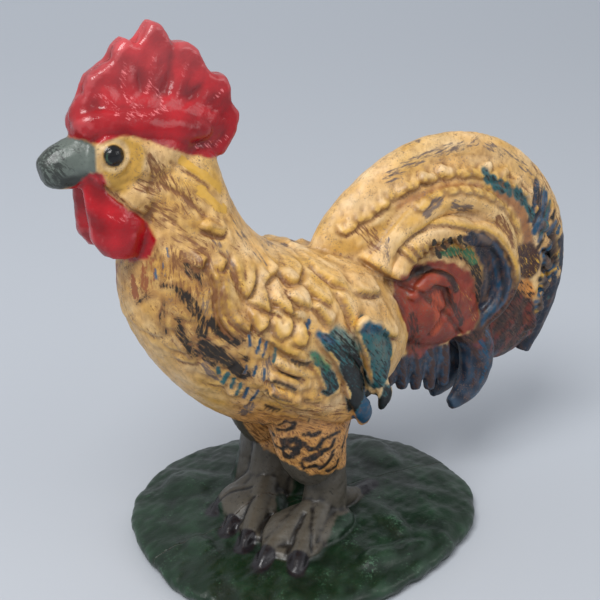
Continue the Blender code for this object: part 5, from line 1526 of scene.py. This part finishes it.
enamel, tree, shader = new_material("hand_painted_enamel")
coat_node = attribute(tree, "coat")
brush_node = attribute(tree, "brush")
finish_node = tree.nodes.new("ShaderNodeSeparateColor")
tree.links.new(attribute(tree, "finish").outputs["Color"], finish_node.inputs["Color"])
gloss_value = finish_node.outputs["Red"]
speckle_value = finish_node.outputs["Blue"]
mottle = spread(tree, noise(tree, 7.0, 6.0), 0.3, 0.7, 0.84, 1.12)
colour = blended(tree, 1.0, coat_node.outputs["Color"], mottle, "MULTIPLY")
streaks = spread(tree, noise(tree, 2.2, 6.0, (1.0, 1.0, 0.5)), 0.48, 0.7, 0.0, 0.8)
streaks = reckon(tree, "MULTIPLY", streaks, speckle_value)
colour = blended(tree, streaks, colour, tuple(BROWN))
dust = spread(tree, noise(tree, 0.8, 4.0), 0.57, 0.64)
dust = reckon(tree, "MULTIPLY", dust, spread(tree, noise(tree, 9.0, 2.0), 0.45, 0.6))
dust = reckon(tree, "MULTIPLY", dust, reckon(tree, "MULTIPLY", speckle_value, 1.6))
colour = blended(tree, dust, colour, tuple(GREY_BROWN))
drawn = tree.nodes.new("ShaderNodeMapping")
drawn.inputs["Scale"].default_value = (1.0, 0.14, 1.0)
tree.links.new(attribute(tree, "bristles").outputs["Vector"], drawn.inputs["Vector"])
bristle_noise = tree.nodes.new("ShaderNodeTexNoise")
bristle_noise.inputs["Scale"].default_value = 1.0
bristle_noise.inputs["Detail"].default_value = 6.0
bristle_noise.inputs["Roughness"].default_value = 0.7
tree.links.new(drawn.outputs["Vector"], bristle_noise.inputs["Vector"])
bristle = bristle_noise.outputs["Fac"]
edge = reckon(tree, "SUBTRACT", reckon(tree, "MULTIPLY", brush_node.outputs["Alpha"], 0.5), bristle)
covered = spread(tree, edge, -0.21, -0.11, 0.0, 0.96)
colour = blended(tree, covered, colour, brush_node.outputs["Color"])
tree.links.new(colour, shader.inputs["Base Color"])
rough = spread(tree, gloss_value, 0.0, 1.0, 0.58, 0.16)
rough = reckon(tree, "ADD", rough, spread(tree, noise(tree, 3.0, 3.0), 0.3, 0.7, -0.06, 0.08))
tree.links.new(rough, shader.inputs["Roughness"])
grain = reckon(tree, "ADD", noise(tree, 2.2, 3.0), reckon(tree, "MULTIPLY", noise(tree, 0.7, 2.0), 0.4))
roughen(tree, shader, grain, 0.35, 0.6)
shader.inputs["Specular IOR Level"].default_value = 0.5

bare_iron, tree, shader = new_material("bare_cast_iron")
rusty = spread(tree, noise(tree, 6.0, 5.0), 0.4, 0.62)
colour = blended(tree, rusty, tuple(shade(62, 56, 52)), tuple(shade(104, 62, 40)))
tree.links.new(colour, shader.inputs["Base Color"])
shader.inputs["Metallic"].default_value = 0.35
tree.links.new(spread(tree, noise(tree, 3.0, 3.0), 0.3, 0.7, 0.6, 0.85), shader.inputs["Roughness"])
roughen(tree, shader, noise(tree, 1.6, 4.0), 0.6, 0.8)


# The two castings
# The pattern is parted on its middle plane into a left and a right casting. Each is hollow, with
# the core's room open under the base, and the halves stand a hair apart at the parting plane.
PARTING = 0.03
CORE_FINENESS = 3.0
CORE_ROUNDS = 3
CORE_TAIL = ((74.0, 0.0, 127.0), (60.0, 13.5, 43.0))
CORE_NECK = ((-68.0, 0.0, 190.0), (11.0, 9.0, 17.0), -60.0)
ROOF_WALL = 4.0

forms.clear()
forms.append(body_skin(TORSO[1:9], IRON_WALL))
ball(*CORE_TAIL)
ball(*CORE_NECK)
roof = tuple((height - ROOF_WALL, step + ROOF_WALL) for height, step in MOUND_LEVELS)
below_floor = (-BASE_SKIRT - 6.0, IRON_WALL)
forms.append(base_skin((below_floor, (RIM_HEIGHT - IRON_WALL, IRON_WALL)) + roof))
forms.append(level_skin(STUMP_HOLLOW, STUMP_Y))
core = fused(forms, CORE_FINENESS, CORE_ROUNDS)


def trimmed(form, where, outwards):
    """Cut a closed form on a plane, drop the outward side and close the cut."""
    made = bmesh.ops.bisect_plane(form, geom=form.verts[:] + form.edges[:] + form.faces[:],
                                  dist=1e-6, plane_co=where, plane_no=outwards, clear_outer=True)
    rim_edges = [item for item in made["geom_cut"] if isinstance(item, bmesh.types.BMEdge)]
    filled = bmesh.ops.triangle_fill(form, use_beauty=True, use_dissolve=False, edges=rim_edges,
                                     normal=outwards)
    return [item for item in filled["geom"] if isinstance(item, bmesh.types.BMFace)]


hollow = bmesh.new()
hollow.from_mesh(core)
bmesh.ops.reverse_faces(hollow, faces=hollow.faces)
for face in hollow.faces:
    face.material_index = 1
inner = from_bmesh(hollow, "inner")
whole = bmesh.new()
whole.from_mesh(pattern)
whole.from_mesh(inner)
for face in trimmed(whole, Vector((0, 0, 0)), Vector((0, 0, -1))):
    face.material_index = 1

for name, side in (("left_casting", LEFT), ("right_casting", RIGHT)):
    half = whole.copy()
    for face in trimmed(half, Vector((0, side * PARTING * MM, 0)), Vector((0, -side, 0))):
        face.material_index = 1
    bmesh.ops.recalc_face_normals(half, faces=half.faces)
    mesh = from_bmesh(half, name + "_painted")
    mesh.transform(Matrix.Translation((-MIDDLE_X * MM, -MIDDLE_Y * MM, 0.0)))
    mesh.materials.append(enamel)
    mesh.materials.append(bare_iron)
    mesh.shade_smooth()
    casting = placed(name + "_painted", mesh)
    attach(casting, "root")
    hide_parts(name)
whole.free()


# Screws
# Three slotted round-head screws hold the halves together from the bird's right side. They are plain
# steel gone dull and dark, with rust in blotches.
worn_steel, tree, shader = new_material("worn_screw_steel")
rusted = spread(tree, noise(tree, 1.6, 5.0), 0.5, 0.62, 0.0, 0.8)
turned = spread(tree, noise(tree, 0.5, 3.0), 0.3, 0.7, 0.8, 1.15)
colour = blended(tree, 1.0, tuple(shade(146, 141, 134)), turned, "MULTIPLY")
tree.links.new(blended(tree, rusted, colour, tuple(shade(96, 62, 44))), shader.inputs["Base Color"])
shader.inputs["Metallic"].default_value = 0.85
tree.links.new(spread(tree, noise(tree, 1.2, 4.0), 0.3, 0.7, 0.34, 0.62), shader.inputs["Roughness"])
roughen(tree, shader, noise(tree, 0.4, 3.0), 0.3, 0.2)
for screw in SCREWS:
    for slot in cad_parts[screw].material_slots:
        slot.material = worn_steel


# Camera, floor and light
# The camera looks slightly down on the bird's left side from its front, and a wide soft window light comes
# from above on that side over a pale sweep whose colour is painted darker near the camera and lighter far
# off.
CAMERA_TURN = math.radians(31.0)
CAMERA_DIP = math.radians(22.7)
CAMERA_PLACE = (-262.4, -431.6, 330.2)
CAMERA_LENS = 72.0
CAMERA_FILM = 36.0
camera_data = bpy.data.cameras.new("camera")
camera_data.lens = CAMERA_LENS
camera_data.sensor_width = CAMERA_FILM
camera = placed("camera", camera_data)
camera.location = Vector((CAMERA_PLACE[0] - MIDDLE_X, CAMERA_PLACE[1] - MIDDLE_Y, CAMERA_PLACE[2])) * MM
camera.rotation_euler = (math.pi / 2 - CAMERA_DIP, 0.0, -CAMERA_TURN)
bpy.context.scene.camera = camera

FLOOR_HALF = 4.0
floor_form = bmesh.new()
bmesh.ops.create_grid(floor_form, x_segments=8, y_segments=8, size=FLOOR_HALF)
floor = placed("floor", from_bmesh(floor_form, "floor"))
sweep, tree, shader = new_material("pale_sweep")
coords = tree.nodes.new("ShaderNodeTexCoord")
split = tree.nodes.new("ShaderNodeSeparateXYZ")
tree.links.new(coords.outputs["Object"], split.inputs["Vector"])
# The floor's colour runs from darker near the camera to lighter far off: a painted gradient of light on the
# sweep.
far = spread(tree, split.outputs["Y"], -0.3, 1.6)
tree.links.new(blended(tree, far, tuple(shade(181, 185, 191)), tuple(shade(222, 227, 234))),
               shader.inputs["Base Color"])
shader.inputs["Roughness"].default_value = 0.9
floor.data.materials.append(sweep)

SKY = (0.9, 0.94, 1.0, 1.0)
SKY_STRENGTH = 0.55
world = bpy.data.worlds.new("studio")
world.use_nodes = True
world.node_tree.nodes["Background"].inputs["Color"].default_value = SKY
world.node_tree.nodes["Background"].inputs["Strength"].default_value = SKY_STRENGTH
bpy.context.scene.world = world


def soft_box(name, place, aim, size, power):
    lamp = bpy.data.lights.new(name, "AREA")
    lamp.shape = "RECTANGLE"
    lamp.size = size[0]
    lamp.size_y = size[1]
    lamp.energy = power
    thing = placed(name, lamp)
    thing.location = place
    thing.rotation_euler = (Vector(aim) - Vector(place)).to_track_quat("-Z", "Y").to_euler()


soft_box("window", (-0.7, -0.5, 1.25), (0.0, 0.0, 0.12), (0.7, 0.7), 16.0)
soft_box("fill", (0.9, -1.0, 0.7), (0.0, 0.0, 0.1), (0.8, 0.8), 3.5)
